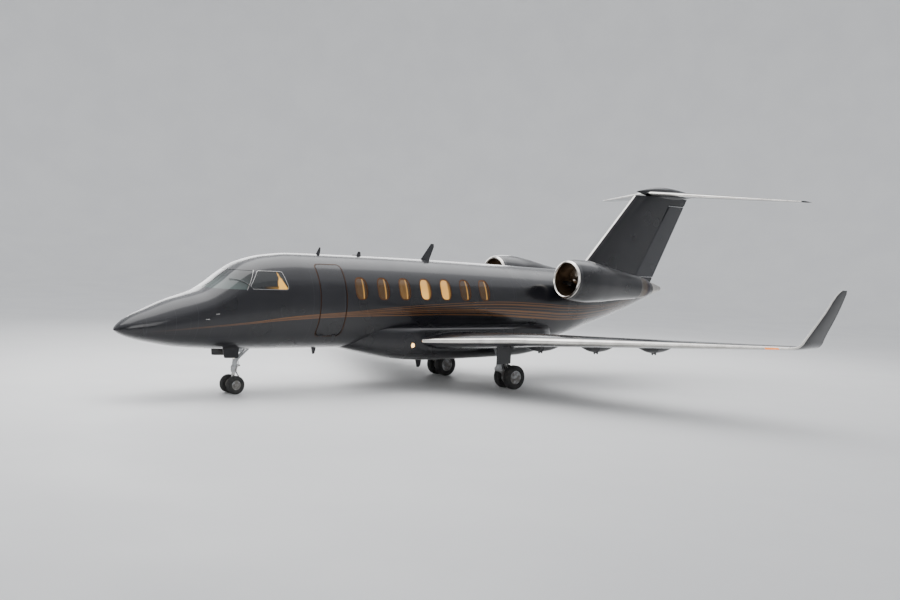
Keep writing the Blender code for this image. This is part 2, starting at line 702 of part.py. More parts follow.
def hinge(fixed, moving, name, middle, line, size=1.0):
    """Two fixed cheeks with a pin between them, and the moving piece's barrel on that pin."""
    near, far = (size * reach for reach in CHEEKS)
    half, barrel = (size * reach for reach in BARREL)
    wide, pin = size * CHEEK_RADIUS, size * HINGE_PIN
    bore = bore_radius(pin, HINGE_ROUND)

    def spool(kind, profile):
        whole = [(-place, radius) for place, radius in reversed(profile)] + profile
        return spindle(name + kind, middle, line, whole, HINGE_ROUND)
    cut(fixed, spool("_space", [(half + PLAY, barrel + PLAY)]))
    fuse(fixed, spool("_cheeks", [(near, pin), (near, wide), (far, wide)]))
    fuse(moving, spool("_barrel", [(half, barrel)]))
    inner, outer = half + HINGE_PLAY, far + PLAY
    cut(moving, spool("_clearance", [(inner, bore), (inner, wide + PLAY), (outer, wide + PLAY)]))


def section_breadth(station, height, inset=0.0):
    """Half-width of the fuselage at a height."""
    waist = WAIST(station)
    reach = (CROWN(station) - waist if height > waist else waist - KEEL(station)) - inset
    share = min(abs(height - waist) / reach, 1.0)
    return (BREADTH(station) - inset) * math.sqrt(1 - share ** 2)


def make_cabin_floor(finishes):
    """Floor through cockpit and cabin, with the glare shield and the pilots' seats on it."""
    side = SKIN_REACH
    low, sunk = FLOOR_HEIGHT - FLOOR_THICKNESS, FLOOR_HEIGHT - FLOOR_THICKNESS / 2
    floor = hull_solid("cabin_floor", NOSE_END + SEAT, CABIN_END, WALL + SEAT, finishes["cabin_trim"])
    keep_inside(floor, box("floor_slab", (along(FLOOR_FRONT), -side, low),
                           (along(CABIN_END), side, FLOOR_HEIGHT)))
    cut(floor, box("doorway", (along(DOOR_FRONT - END_PLAY), -side, low - PLAY),
                   (along(DOOR_REAR + END_PLAY), -DOOR_CLEARANCE, FLOOR_HEIGHT + PLAY)))
    front, rear = SHIELD_SPAN
    shield = hull_solid("glare_shield", front, rear + 0.07, WALL + PANE_STRIP * 2)
    keep_inside(shield, box("shield_space", (along(front - 0.05), -SHIELD_SIDE, sunk),
                            (along(rear), SHIELD_SIDE, SHIELD_HEIGHT)))
    fuse(floor, shield)
    for label, sign in SIDES.items():
        low_y, high_y = sign * SEAT_SIDE - SEAT_WIDTH / 2, sign * SEAT_SIDE + SEAT_WIDTH / 2
        front, rear, top = CUSHION
        fuse(floor, box("cushion_" + label, (along(front), low_y, sunk), (along(rear), high_y, top)))
        front, rear, head = BACKREST
        fuse(floor, box("backrest_" + label, (along(front), low_y + 0.01, top - 0.1),
                        (along(rear), high_y - 0.01, head)))


def make_belly_fairing(finishes):
    keel = smooth_line(FAIRING_KEEL)
    breadth = smooth_line(FAIRING_BREADTH)
    rings = []
    for station in (6.0, 6.3, 6.7, 7.1, 7.5, 7.9, 8.3, 10.0, 11.6, 12.2, 12.6, 13.0, 13.4):
        across, down = breadth(station), FAIRING_MIDDLE - keel(station)
        ring = []
        for i in range(24):
            angle = i / 24 * math.tau
            y = across * power(math.sin(angle), 0.62)
            z = power(math.cos(angle), 0.62) * (FAIRING_RISE if math.cos(angle) > 0 else down)
            y = max(min(y, FAIRING_SIDE - SEAT), SEAT - FAIRING_SIDE)
            ring.append(Vector((along(station), y, FAIRING_MIDDLE + z)))
        rings.append(ring)
    fairing = loft("belly_fairing", rings, finishes["black_paint"])
    cut(fairing, hull_space("fairing_seat"))
    fuse(fairing, blade("antenna_belly", 8.74, 0.80, 0.26, 0.12, -0.32, 0.09, 0.03))


# Lifting surfaces

def foil(share, thickness):
    """Half-thickness of the section at a share of the chord, closing at the trailing edge."""
    root = math.sqrt(max(share, 0.0))
    curve = 0.2969 * root - 0.1260 * share - 0.3516 * share ** 2 + 0.2843 * share ** 3 - 0.1036 * share ** 4
    return 5 * thickness * curve


def foil_outline(chord, thickness, camber=0.0, start=0.0, end=1.0):
    """(along, up) points round a section between two shares of its chord."""
    shares = [start] + [s for s in FOIL_SHARES if start + 0.01 < s < end - 0.01] + [end]

    def half(share):
        return max(foil(share, thickness) * chord, EDGE)

    def middle(share):
        return camber * chord * 4 * share * (1 - share)
    upper = [(s * chord, middle(s) + half(s)) for s in shares]
    lower = [(s * chord, middle(s) - half(s)) for s in shares]
    if start == 0.0:
        return [(0.0, middle(0.0))] + upper[1:] + lower[:0:-1]
    return upper + lower[::-1]


def wing_station(place):
    """Leading edge, chord and thickness of the wing at a distance from the centre line."""
    inner, outer = (WING_ROOT, WING_KINK) if place <= WING_KINK[0] else (WING_KINK, WING_TIP)
    share = (place - inner[0]) / (outer[0] - inner[0])
    return [inner[i] + (outer[i] - inner[i]) * share for i in range(5)]


def wing_ring(side, place, start=0.0, end=1.0):
    _, lead, height, chord, thickness = wing_station(place)
    drop = math.tan(WING_INCIDENCE)
    return [Vector((along(lead + x), side * place, height + z - x * drop))
            for x, z in foil_outline(chord, thickness, WING_LIFT, start, end)]


def wing_point(side, place, share, level=0.0):
    """A point of the wing: level is +1 on the top skin and -1 on the bottom skin."""
    _, lead, height, chord, thickness = wing_station(place)
    x = share * chord
    z = WING_LIFT * chord * 4 * share * (1 - share) + level * foil(share, thickness) * chord
    return Vector((along(lead + x), side * place, height + z - x * math.tan(WING_INCIDENCE)))


def nosed_outline(points, hinge, radius, steps=6):
    """A moving surface's section: its skins from the hinge aft, closed in front by a round nose."""
    count = len(points) // 2
    upper, lower = points[:count], points[count:]
    arc = []
    for i in range(1, steps):
        angle = math.pi / 2 + math.pi * i / steps
        arc.append((hinge[0] + radius * math.cos(angle), hinge[1] + radius * math.sin(angle)))
    return upper + lower + arc[::-1]


def make_wing(label, side, finishes):
    places = [WING_ROOT[0], 2.3, WING_KINK[0], 5.6, 7.6, WING_TIP[0]]
    wing = loft("wing_" + label, [wing_ring(side, place) for place in places], finishes["black_paint"])
    nose = aileron_nose(AILERON_SPAN[0])
    cut(wing, wing_cove("flap_space_" + label, side, FLAP_SPAN, FLAP_FRONT, PLAY),
        wing_cove("aileron_space_" + label, side, AILERON_SPAN, AILERON_FRONT, PLAY + nose))
    make_flap(label, side, wing, finishes)
    pad = wing_point(side, JACK_PLACE, JACK_SHARE, -1)
    fuse(wing, rod("jack_pad_" + label, pad + Vector((0, 0, 0.08)), (pad.x, pad.y, JACK_HEIGHT), JACK_RADIUS))
    aileron = make_aileron(label, side, finishes)
    near, far = (wing_point(side, place, AILERON_FRONT) for place in AILERON_SPAN)
    hinge_pins(wing, aileron, near, far, AILERON_PIN)
    make_winglet(label, side, finishes)


def wing_cove(name, side, span, share, gap):
    """Everything behind the front line of a moving surface, over its span."""
    inner, outer = span[0] - END_PLAY, span[1] + END_PLAY
    if inner < WING_ROOT[0] + 0.1:
        inner = WING_ROOT[0] - 0.05
    rings = []
    for place in (inner, outer):
        near = wing_point(side, place, share)
        x = near.x + cove_shift(place, span, share) - gap
        rings.append([Vector((x + back, side * place, near.z + up))
                      for back, up in ((0, -0.6), (2.2, -0.6), (2.2, 0.5), (0, 0.5))])
    return loft(name, rings)


def cove_shift(place, span, share):
    """Keeps a surface's front line straight past the bend in the wing's trailing edge."""
    first, last = wing_point(1, span[0], share), wing_point(1, span[1], share)
    t = (place - span[0]) / (span[1] - span[0])
    return first.x + (last.x - first.x) * t - wing_point(1, place, share).x


def front_share(place, span, share):
    """Share of the chord where the straight front line crosses a place."""
    _, _, _, chord, _ = wing_station(place)
    return share + cove_shift(place, span, share) / chord


def make_flap(label, side, wing, finishes):
    """The flap with the rear halves of its track fairings, hinged below the wing."""
    rings = []
    for place in (FLAP_SPAN[0], TRACK_PLACES[0], WING_KINK[0], 5.0, FLAP_SPAN[1]):
        start = front_share(place, FLAP_SPAN, FLAP_FRONT)
        ring = wing_ring(side, place, start)
        top, bottom = ring[0], ring[-1]
        ring[-1] = bottom + Vector((FLAP_UNDERCUT * (top.z - bottom.z), 0, 0))
        rings.append(ring + [(top + bottom) / 2])
    flap = loft("flap_" + label, rings, finishes["black_paint"])
    first, last = (flap_hinge(side, place) for place in (TRACK_PLACES[0], TRACK_PLACES[-1]))
    line = (last - first).normalized()
    for number, place in enumerate(TRACK_PLACES):
        name = "%s_%d" % (label, number)
        fuse(wing, track_front("track_front_" + name, side, place))
        fuse(flap, track_rear("track_rear_" + name, side, place))
        hinge(wing, flap, "flap_hinge_" + name, flap_hinge(side, place), line)
    pivot("flap_" + label, first, flap)


def flap_hinge(side, place):
    """Point of the flap's straight hinge line, which hangs below the wing."""
    first, last = TRACK_PLACES[0], TRACK_PLACES[-1]
    ends = []
    for track in (first, last):
        share = front_share(track, FLAP_SPAN, FLAP_FRONT)
        skin = wing_point(side, track, share, -1)
        ends.append(Vector((wing_point(side, track, share).x, side * track, skin.z - TRACK_DEPTH)))
    return ends[0].lerp(ends[1], (place - first) / (last - first))


def track_lines(side, place):
    """Front line of a flap track fairing, the wing's underside there, and the fairing's depth."""
    share = front_share(place, FLAP_SPAN, FLAP_FRONT)
    front = wing_point(side, place, share)
    skin = wing_point(side, place, share, -1)
    return front.x, skin.z, skin.z - flap_hinge(side, place).z - HINGE_DROP


def flap_sweep():
    """How far the flap's front line runs aft for each metre outwards."""
    first, last = (wing_point(1, place, FLAP_FRONT) for place in FLAP_SPAN)
    return (last.x - first.x) / (FLAP_SPAN[1] - FLAP_SPAN[0])


def track_ring(x, side, place, top, depth, width):
    """A fairing section parallel to the flap's front line: flat on top, round below."""
    corners = [(-1, 0.0), (1, 0.0)]
    for i in range(7):
        angle = math.pi * i / 6
        corners.append((math.cos(angle), 0.35 + 0.65 * math.sin(angle)))
    return [Vector((x + flap_sweep() * across * width, side * (place + across * width), top - depth * down))
            for across, down in corners]


def track_front(name, side, place):
    x, skin, depth = track_lines(side, place)
    rings = []
    for distance, share in TRACK_FRONT:
        sunk = 0.05 * distance
        rings.append(track_ring(x - PLAY - TRACK_STEP - distance, side, place, skin + TRACK_SUNK + sunk,
                                (depth + TRACK_SUNK) * share + sunk, TRACK_WIDTH * (0.3 + 0.7 * share)))
    return loft(name, rings)


def track_rear(name, side, place):
    x, skin, depth = track_lines(side, place)
    rings = []
    for distance, share in TRACK_REAR:
        sunk = 0.02 * distance
        rings.append(track_ring(x + distance, side, place, skin + TRACK_SUNK + sunk,
                                (depth + TRACK_SUNK) * share + sunk, TRACK_WIDTH * (0.2 + 0.8 * share)))
    return loft(name, rings)


def aileron_nose(place):
    _, _, _, chord, thickness = wing_station(place)
    return foil(AILERON_FRONT, thickness) * chord


def make_aileron(label, side, finishes):
    rings = []
    for place in AILERON_SPAN:
        _, lead, height, chord, thickness = wing_station(place)
        points = foil_outline(chord, thickness, WING_LIFT, AILERON_FRONT)
        hinge = (AILERON_FRONT * chord, WING_LIFT * chord * 4 * AILERON_FRONT * (1 - AILERON_FRONT))
        section = nosed_outline(points, hinge, aileron_nose(place))
        drop = math.tan(WING_INCIDENCE)
        rings.append([Vector((along(lead + x), side * place, height + z - x * drop)) for x, z in section])
    return loft("aileron_" + label, rings, finishes["black_paint"])


def make_winglet(label, side, finishes):
    rings = []
    for number, (place, lead, height, chord, lean) in enumerate(WINGLET_STATIONS):
        angle = math.radians(lean)
        thickness = WING_TIP[4] if number == 0 else WINGLET_THICKNESS
        camber = WING_LIFT if number < 2 else 0.0
        drop = math.tan(WING_INCIDENCE) * (1 if number < 2 else 0)
        ring = []
        for x, z in foil_outline(chord, thickness, camber):
            z -= x * drop
            ring.append(Vector((along(lead + x), side * (place - z * math.sin(angle)),
                                height + z * math.cos(angle))))
        if number == 0:
            ring = [Vector((p.x, side * (WING_TIP[0] + SEAT), p.z)) for p in ring]
        rings.append(ring)
    loft("winglet_" + label, rings, finishes["black_paint"])


def fin_section(height):
    """Leading edge station and chord of the fin at a height."""
    share = (height - FIN_FOOT[0]) / (FIN_HEAD[0] - FIN_FOOT[0])
    return [FIN_FOOT[i] + (FIN_HEAD[i] - FIN_FOOT[i]) * share for i in (1, 2)]


def fin_ring(height):
    lead, chord = fin_section(height)
    return [Vector((along(lead + x), y, height)) for x, y in foil_outline(chord, FIN_THICKNESS)]


def rudder_front(height):
    """Station of the rudder's hinge line at a height."""
    share = (height - RUDDER_FRONT_FOOT[0]) / (RUDDER_FRONT_HEAD[0] - RUDDER_FRONT_FOOT[0])
    return RUDDER_FRONT_FOOT[1] + (RUDDER_FRONT_HEAD[1] - RUDDER_FRONT_FOOT[1]) * share


def rudder_section(height):
    lead, chord = fin_section(height)
    share = (rudder_front(height) - lead) / chord
    return lead, chord, share, foil(share, FIN_THICKNESS) * chord


def make_fin(finishes):
    heights = [FIN_FOOT[0], 4.0, FIN_HEAD[0]]
    fin = loft("fin", [fin_ring(height) for height in heights], finishes["black_paint"])
    rings = []
    for height in (RUDDER_SPAN[0] - RUDDER_DROP, RUDDER_SPAN[1] + RUDDER_LIFT):
        front = along(rudder_front(height) - rudder_section(height)[3] - NOSE_PLAY)
        rings.append([Vector((front + back, y, height))
                      for back, y in ((0, -0.5), (3, -0.5), (3, 0.5), (0, 0.5))])
    cut(fin, loft("rudder_space", rings))

    rings = []
    for height in RUDDER_SPAN:
        lead, chord, share, radius = rudder_section(height)
        section = nosed_outline(foil_outline(chord, FIN_THICKNESS, 0.0, share), (share * chord, 0.0), radius)
        rings.append([Vector((along(lead + x), y, height)) for x, y in section])
    rudder = loft("rudder", rings, finishes["grey_paint"])
    near, far = (Vector((along(rudder_front(height)), 0, height)) for height in RUDDER_SPAN)
    hinge_pins(fin, rudder, near, far, RUDDER_PIN)
    cut(fin, hull_space("fin_seat"), bullet("fin_head_seat", SEAT))


def bullet(name, grow=0.0, finish=None):
    """The fairing over the joint of fin and tailplane: a long drop shape."""
    length = BULLET_REAR - BULLET_FRONT
    rings = []
    for share in (0.0, 0.02, 0.07, 0.16, 0.30, 0.48, 0.66, 0.82, 0.93, 1.0):
        radius = BULLET_RADIUS * (math.sin(math.pi * min(share / 0.9, 0.5)) if share < 0.45
                                  else math.cos(math.pi / 2 * (share - 0.45) / 0.62))
        radius = max(radius, 0.012) + grow
        x = along(BULLET_FRONT) + length * share + (grow if share > 0.5 else -grow)
        rings.append([Vector((x, 0.8 * radius * math.sin(i / 16 * math.tau),
                              BULLET_HEIGHT + radius * math.cos(i / 16 * math.tau))) for i in range(16)])
    return loft(name, rings, finish)


def tail_station(place):
    share = place / TAIL_TIP_LINE[0]
    return [TAIL_ROOT[i] + (TAIL_TIP_LINE[i] - TAIL_ROOT[i]) * share for i in range(4)]


def tail_ring(side, place, start=0.0):
    _, lead, height, chord = tail_station(place)
    return [Vector((along(lead + x), side * place, height + z))
            for x, z in foil_outline(chord, TAIL_THICKNESS, 0.0, start)]


def make_tailplane(finishes):
    bullet("tail_bullet", 0.0, finishes["black_paint"])
    for label, side in SIDES.items():
        rings = [tail_ring(side, place) for place in (0.02, 2.2, TAIL_TIP_LINE[0])]
        panel = loft("tailplane_" + label, rings, finishes["black_paint"])
        rings = []
        for place in (ELEVATOR_SPAN[0] - END_PLAY, ELEVATOR_SPAN[1] + END_PLAY):
            _, lead, height, chord = tail_station(place)
            x = along(lead + ELEVATOR_FRONT * chord - elevator_nose(place) - NOSE_PLAY)
            rings.append([Vector((x + back, side * place, height + up))
                          for back, up in ((0, -0.4), (2, -0.4), (2, 0.4), (0, 0.4))])
        cut(panel, loft("elevator_space_" + label, rings), bullet("panel_seat_" + label, SEAT))
        ends = []
        for place in ELEVATOR_SPAN:
            _, lead, height, chord = tail_station(place)
            ends.append(Vector((along(lead + ELEVATOR_FRONT * chord), side * place, height)))
        hinge_pins(panel, make_elevator(label, side, finishes), *ends, ELEVATOR_PIN)


def elevator_nose(place):
    chord = tail_station(place)[3]
    return foil(ELEVATOR_FRONT, TAIL_THICKNESS) * chord


def make_elevator(label, side, finishes):
    rings = []
    for place in ELEVATOR_SPAN:
        _, lead, height, chord = tail_station(place)
        points = foil_outline(chord, TAIL_THICKNESS, 0.0, ELEVATOR_FRONT)
        section = nosed_outline(points, (ELEVATOR_FRONT * chord, 0.0), elevator_nose(place))
        rings.append([Vector((along(lead + x), side * place, height + z)) for x, z in section])
    return loft("elevator_" + label, rings, finishes["black_paint"])


# Engines

def engine_place(side, distance, y=0.0, z=0.0):
    """A point given along the engine's axis from the inlet, out to the side and up."""
    turn = Matrix.Rotation(ENGINE_TILT, 3, "Y")
    return Vector((along(INLET_STATION), side * INLET_SIDE, INLET_HEIGHT)) + turn @ Vector((distance, y, z))


def engine_ring(side, distance, radius, sides=ROUND):
    return [engine_place(side, distance, radius * math.sin(i / sides * math.tau),
                         radius * math.cos(i / sides * math.tau)) for i in range(sides)]


def engine_turned(name, side, profile, finish=None, closed=False, sides=ROUND):
    rings = [engine_ring(side, d, r, sides) if r > 0 else [engine_place(side, d)] for d, r in profile]
    return wrap(name, rings, finish) if closed else loft(name, rings, finish)


def part_of(line, start, end):
    """The points of a profile between two distances, with its ends worked out."""
    places, radii = zip(*line)

    def at(d):
        return float(np.interp(d, places, radii))
    inside = [(d, r) for d, r in line if start + 1e-6 < d < end - 1e-6]
    return [(start, at(start))] + inside + [(end, at(end))]


def make_engine(label, side, finishes):
    lip = part_of(COWL_LINE, 0.0, LIP_DEPTH) + part_of(DUCT_LINE, 0.0, LIP_DEPTH)[:0:-1]
    engine_turned("inlet_lip_" + label, side, lip, finishes["bright_metal"], True)
    cowl = part_of(COWL_LINE, LIP_DEPTH + SEAT, COWL_LENGTH)
    cowl += part_of(DUCT_LINE, LIP_DEPTH + SEAT, COWL_LENGTH)[::-1]
    engine_turned("nacelle_" + label, side, cowl, finishes["black_paint"], True)
    nozzle = [(d + (SEAT if d == COWL_LENGTH else 0), r) for d, r in NOZZLE_LINE]
    nozzle += [(d, r - 0.02) for d, r in reversed(nozzle)]
    engine_turned("nozzle_" + label, side, nozzle, finishes["engine_metal"], True)

    frame = (CORE_FRONT + 0.06, CORE_FRONT + 0.16)
    core = [(CORE_FRONT, 0.0), (CORE_FRONT, 0.09), (frame[0], 0.13), (frame[0], DUCT_RADIUS - SEAT),
            (frame[1], DUCT_RADIUS - SEAT), (frame[1], 0.27), (1.6, 0.30), (2.4, 0.24), (CORE_REAR, 0.0)]
    engine_turned("engine_" + label, side, core, finishes["engine_metal"])
    make_fan(label, side, finishes)
    make_pylon(label, side, finishes)


def make_fan(label, side, finishes):
    """Spinner, hub and twisted blades in one piece, with the shaft behind it."""
    bm = bmesh.new()
    sides = FAN_BLADES * 2
    profile = [(FAN_STATION - 0.20, 0.0), (FAN_STATION - 0.17, 0.045), (FAN_STATION - 0.10, 0.095),
               (FAN_STATION, FAN_HUB), (FAN_STATION + 0.10, FAN_HUB), (FAN_STATION + 0.10, 0.07),
               (CORE_FRONT - SEAT, 0.07), (CORE_FRONT - SEAT, 0.0)]
    loops = []
    for distance, radius in profile:
        if radius == 0:
            loops.append([bm.verts.new((distance, 0, 0))])
        else:
            loops.append([bm.verts.new((distance, radius * math.sin(i / sides * math.tau),
                                        radius * math.cos(i / sides * math.tau))) for i in range(sides)])
    roots = []
    for number, (near, far) in enumerate(zip(loops, loops[1:])):
        for i in range(sides):
            j = (i + 1) % sides
            corners = [near[i % len(near)], near[j % len(near)], far[j % len(far)], far[i % len(far)]]
            face = bm.faces.new(list(dict.fromkeys(corners)))
            if number == 3 and i % 2 == 0:
                roots.append(face)
    bmesh.ops.recalc_face_normals(bm, faces=bm.faces)
    for root in roots:
        middle = root.calc_center_median()
        radial = Vector((0, middle.y, middle.z)).normalized()
        grown = bmesh.ops.extrude_discrete_faces(bm, faces=[root])["faces"][0]
        for vert in grown.verts:
            offset = vert.co - middle
            across = Vector((1, 0, 0)).cross(radial)
            flat = Vector((offset.x * 1.1, 0, 0)) + across * offset.dot(across) * 0.35
            tip = Matrix.Rotation(math.radians(38), 3, radial) @ flat
            vert.co = radial * (FAN_RADIUS - 0.004) + Vector((middle.x, 0, 0)) + tip
    turn = Matrix.Rotation(ENGINE_TILT, 4, "Y")
    place = Matrix.Translation((along(INLET_STATION), side * INLET_SIDE, INLET_HEIGHT))
    bmesh.ops.transform(bm, matrix=place @ turn, verts=bm.verts)
    fan = finish_mesh("fan_" + label, bm, finishes["fan_metal"])
    pivot("fan_" + label, engine_place(side, FAN_STATION), fan)


def make_pylon(label, side, finishes):
    """A thick level fin between body and cowl, cut to fit both."""
    rings = []
    for y in (0.45, 1.50):
        x0 = along(INLET_STATION + PYLON_FRONT)
        ring = []
        for x, z in foil_outline(PYLON_LENGTH, PYLON_THICKNESS / PYLON_LENGTH, 0.0):
            drop = (x + PYLON_FRONT) * math.tan(ENGINE_TILT)
            ring.append(Vector((x0 + x, side * y, INLET_HEIGHT - 0.10 + z - drop)))
        rings.append(ring)
    pylon = loft("pylon_" + label, rings, finishes["black_paint"])
    grown = [(d, r + SEAT) for d, r in part_of(COWL_LINE, 0.0, COWL_LENGTH)]
    grown = [(grown[0][0], 0.0)] + grown + [(grown[-1][0] + 0.02, grown[-1][1]), (grown[-1][0] + 0.02, 0.0)]
    cut(pylon, hull_space("pylon_seat_" + label),
        engine_turned("pylon_cowl_seat_" + label, side, grown))


# Landing gear

def tyre_profile(radius, width, rim):
    """A fat section with a flat tread, as (across, radius), closed."""
    half = width / 2
    points = [(-0.32, 1.0), (0.32, 1.0), (0.46, 0.94), (0.5, 0.80), (0.38, 0.0),
              (-0.38, 0.0), (-0.5, 0.80), (-0.46, 0.94)]
    profile = []
    for across, out in points:
        reach = rim if out == 0.0 else radius * out
        profile.append((across * 2 * half, max(reach, rim)))
    return profile + profile[:1]


def make_tyre(name, place, radius, width, rim, finish, sides):
    """A tyre whose lowest flat lies on the ground."""
    profile = tyre_profile(radius / math.cos(math.pi / sides), width, rim)
    return turned(name, profile, place, "Y", sides, True, finish)


def make_wheel_pair(name, station, middle, apart, radius, width, rim, axle, finishes, tyre_names):
    """Two wheels on one axle: dished rims joined by the axle, and their tyres."""
    sides = WHEEL_ROUND
    place = Vector((along(station), middle, radius))
    inner_rim = rim - SEAT
    half = width / 2 * 0.76
    dish = half * 0.45
    outer = [(apart - dish, axle), (apart - half, inner_rim), (apart + half, inner_rim),
             (apart + dish, inner_rim * 0.8), (apart + dish, axle * 1.7), (apart + half, axle * 1.5),
             (apart + half, 0.0)]
    profile = [(-across, reach) for across, reach in reversed(outer)] + outer
    pieces = [turned(name, profile, place, "Y", sides, True, finishes["gear_metal"])]
    for tyre, shift in zip(tyre_names, (-apart, apart)):
        pieces.append(make_tyre(tyre, place + Vector((0, shift, 0)), radius, width, rim,
                                finishes["tyre_rubber"], sides))
    pivot(name, place, *pieces)


def axle_bore(name, place, radius):
    reach = Vector((0, 0.2, 0))
    return rod(name, place - reach, place + reach, bore_radius(radius, WHEEL_ROUND), WHEEL_ROUND)


def gear_bars(name, middle, side, table):
    """The bars of one leg, about a point on the ground under its wheels."""
    flip = Vector((1, side, 1))
    return [rod(name + label, middle + flip * Vector(start), middle + flip * Vector(end), radius, sides)
            for label, (start, end, radius, sides) in table.items()]


def gear_box(name, middle, side, corners):
    near, far = corners
    low, high = sorted((side * near[1], side * far[1]))
    return box(name, middle + Vector((near[0], low, near[2])), middle + Vector((far[0], high, far[2])))


def make_nose_gear(finishes):
    metal = finishes["gear_metal"]
    ground = Vector((along(NOSE_WHEEL_STATION), 0, 0))
    foot, top = ground + Vector(NOSE_LEG_FOOT), ground + Vector(NOSE_LEG_TOP)
    axis = (top - foot).normalized()
    leg = rod("nose_leg", foot, top, 0.062, 12, metal)
    fuse(leg, rod("nose_collar", foot, foot + axis * 0.07, 0.082, 12),
         *gear_bars("nose_leg_", ground, 1, NOSE_LEG_BARS))
    cut(leg, hull_space("nose_leg_seat"))

    upper = foot - axis * SEAT
    fork = rod("nose_fork", foot - axis * NOSE_FORK_LENGTH, upper, 0.045, 12, metal)
    fuse(fork, rod("nose_fork_ring", upper - axis * 0.06, upper, 0.078, 12),
         *gear_bars("nose_fork_", ground, 1, NOSE_FORK_BARS))
    cut(fork, axle_bore("nose_axle_bore", ground + Vector((0, 0, NOSE_TYRE_RADIUS)), NOSE_AXLE))
    pivot("nose_fork", foot, fork)
    make_wheel_pair("nose_wheels", NOSE_WHEEL_STATION, 0.0, NOSE_WHEEL_SIDE, NOSE_TYRE_RADIUS,
                    NOSE_TYRE_WIDTH, NOSE_RIM, NOSE_AXLE, finishes, ("nose_tyre_left", "nose_tyre_right"))

    for label, side in SIDES.items():
        outline = [Vector((along(s), side * (NOSE_DOOR_SIDE + NOSE_DOOR_LEAN * (NOSE_DOOR_TOP - z)), z))
                   for s, z in NOSE_DOOR]
        panel = prism("nose_gear_door_" + label, outline, (0, side * NOSE_DOOR_THICKNESS, 0),
                      finishes["black_paint"])
        cut(panel, hull_space("nose_door_seat_" + label))


def make_main_gear(label, side, finishes):
    ground = Vector((along(MAIN_WHEEL_STATION), side * MAIN_LEG_SIDE, 0))
    leg, *bars = gear_bars("main_leg_%s_" % label, ground, side, MAIN_LEG_BARS)
    leg.name = "main_leg_" + label
    leg.data.materials.append(finishes["gear_metal"])
    fuse(leg, *bars, gear_box("main_door_" + label, ground, side, MAIN_DOOR),
         gear_box("main_door_arm_" + label, ground, side, MAIN_DOOR_ARM))
    cut(leg, loft("wing_under_" + label, wing_under(side)),
        axle_bore("main_axle_bore_" + label, ground + Vector((0, 0, MAIN_TYRE_RADIUS)), MAIN_AXLE))
    names = ("main_tyre_%s_outer" % label, "main_tyre_%s_inner" % label)
    make_wheel_pair("main_wheels_" + label, MAIN_WHEEL_STATION, ground.y, MAIN_WHEEL_SIDE, MAIN_TYRE_RADIUS,
                    MAIN_TYRE_WIDTH, MAIN_RIM, MAIN_AXLE, finishes, names if side < 0 else names[::-1])


def wing_under(side):
    """The wing's form near its root, lowered by the seating gap."""
    return [[point - Vector((0, 0, SEAT)) for point in wing_ring(side, place)]
            for place in (WING_ROOT[0], 2.3)]


def merge_flat_faces():
    """Joins the faces that a cut left in one plane."""
    for item in bpy.data.objects:
        if item.modifiers and not item.hide_render:
            flat = item.modifiers.new("flat", "DECIMATE")
            flat.decimate_type = "DISSOLVE"
            flat.angle_limit = math.radians(0.05)


def main():
    clear_scene()
    finishes = make_materials()
    cabin = make_fuselage(finishes)
    make_glass(finishes)
    make_door(cabin, finishes)
    make_cabin_floor(finishes)
    make_belly_fairing(finishes)
    make_fin(finishes)
    make_tailplane(finishes)
    make_nose_gear(finishes)
    for label, side in SIDES.items():
        make_wing(label, side, finishes)
        make_engine(label, side, finishes)
        make_main_gear(label, side, finishes)
    merge_flat_faces()


main()
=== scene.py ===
"""Looks of a business jet parked on its gear: glossy near-black paint with flowing copper lines.

Metres. X runs aft, Y to starboard, Z up. A station is a distance aft of the nose tip.
"""
import math

import bmesh
import bpy
import numpy as np
from mathutils import Matrix, Vector
from mathutils.geometry import delaunay_2d_cdt


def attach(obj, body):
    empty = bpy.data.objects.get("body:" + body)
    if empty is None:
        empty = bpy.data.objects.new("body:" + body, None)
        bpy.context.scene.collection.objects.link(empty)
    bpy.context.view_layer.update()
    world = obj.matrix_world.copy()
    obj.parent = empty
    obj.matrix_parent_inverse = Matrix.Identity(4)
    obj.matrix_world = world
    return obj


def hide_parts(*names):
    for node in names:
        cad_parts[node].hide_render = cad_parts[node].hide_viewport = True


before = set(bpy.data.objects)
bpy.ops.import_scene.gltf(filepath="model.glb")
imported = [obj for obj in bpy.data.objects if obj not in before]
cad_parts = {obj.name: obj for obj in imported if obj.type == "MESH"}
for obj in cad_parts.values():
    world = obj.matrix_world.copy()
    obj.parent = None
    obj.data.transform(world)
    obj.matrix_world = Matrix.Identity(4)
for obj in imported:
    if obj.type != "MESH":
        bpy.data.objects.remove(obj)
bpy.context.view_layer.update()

HALF_LENGTH = 10.465
SIDES = {"left": -1, "right": 1}
TURN = 2 * math.pi

# The fuselage by station: top, bottom, height of its widest line, half-width, and the exponent of the
# superellipse above that line
CROWN = [(0, 1.63), (0.12, 1.768), (0.35, 1.933), (0.8, 2.144), (1.3, 2.352), (1.7, 2.475),
         (2.05, 2.59), (2.4, 2.795), (2.8, 3.09), (3.2, 3.32), (3.8, 3.476), (4.6, 3.545),
         (6.5, 3.535), (13.5, 3.366), (16.5, 3.21), (18.25, 3.05), (18.83, 2.90)]
KEEL = [(0, 1.61), (0.12, 1.522), (0.35, 1.429), (0.8, 1.319), (1.6, 1.192), (2.8, 1.121),
        (5.0, 1.104), (12.7, 1.115), (13.8, 1.265), (15.07, 1.602), (16.85, 2.092),
        (18.25, 2.57), (18.83, 2.74)]
WAIST = [(0, 1.62), (0.35, 1.66), (1.0, 1.76), (2.0, 1.97), (3.0, 2.16), (4.6, 2.31),
         (12.5, 2.31), (15.0, 2.52), (18.25, 2.81), (18.83, 2.82)]
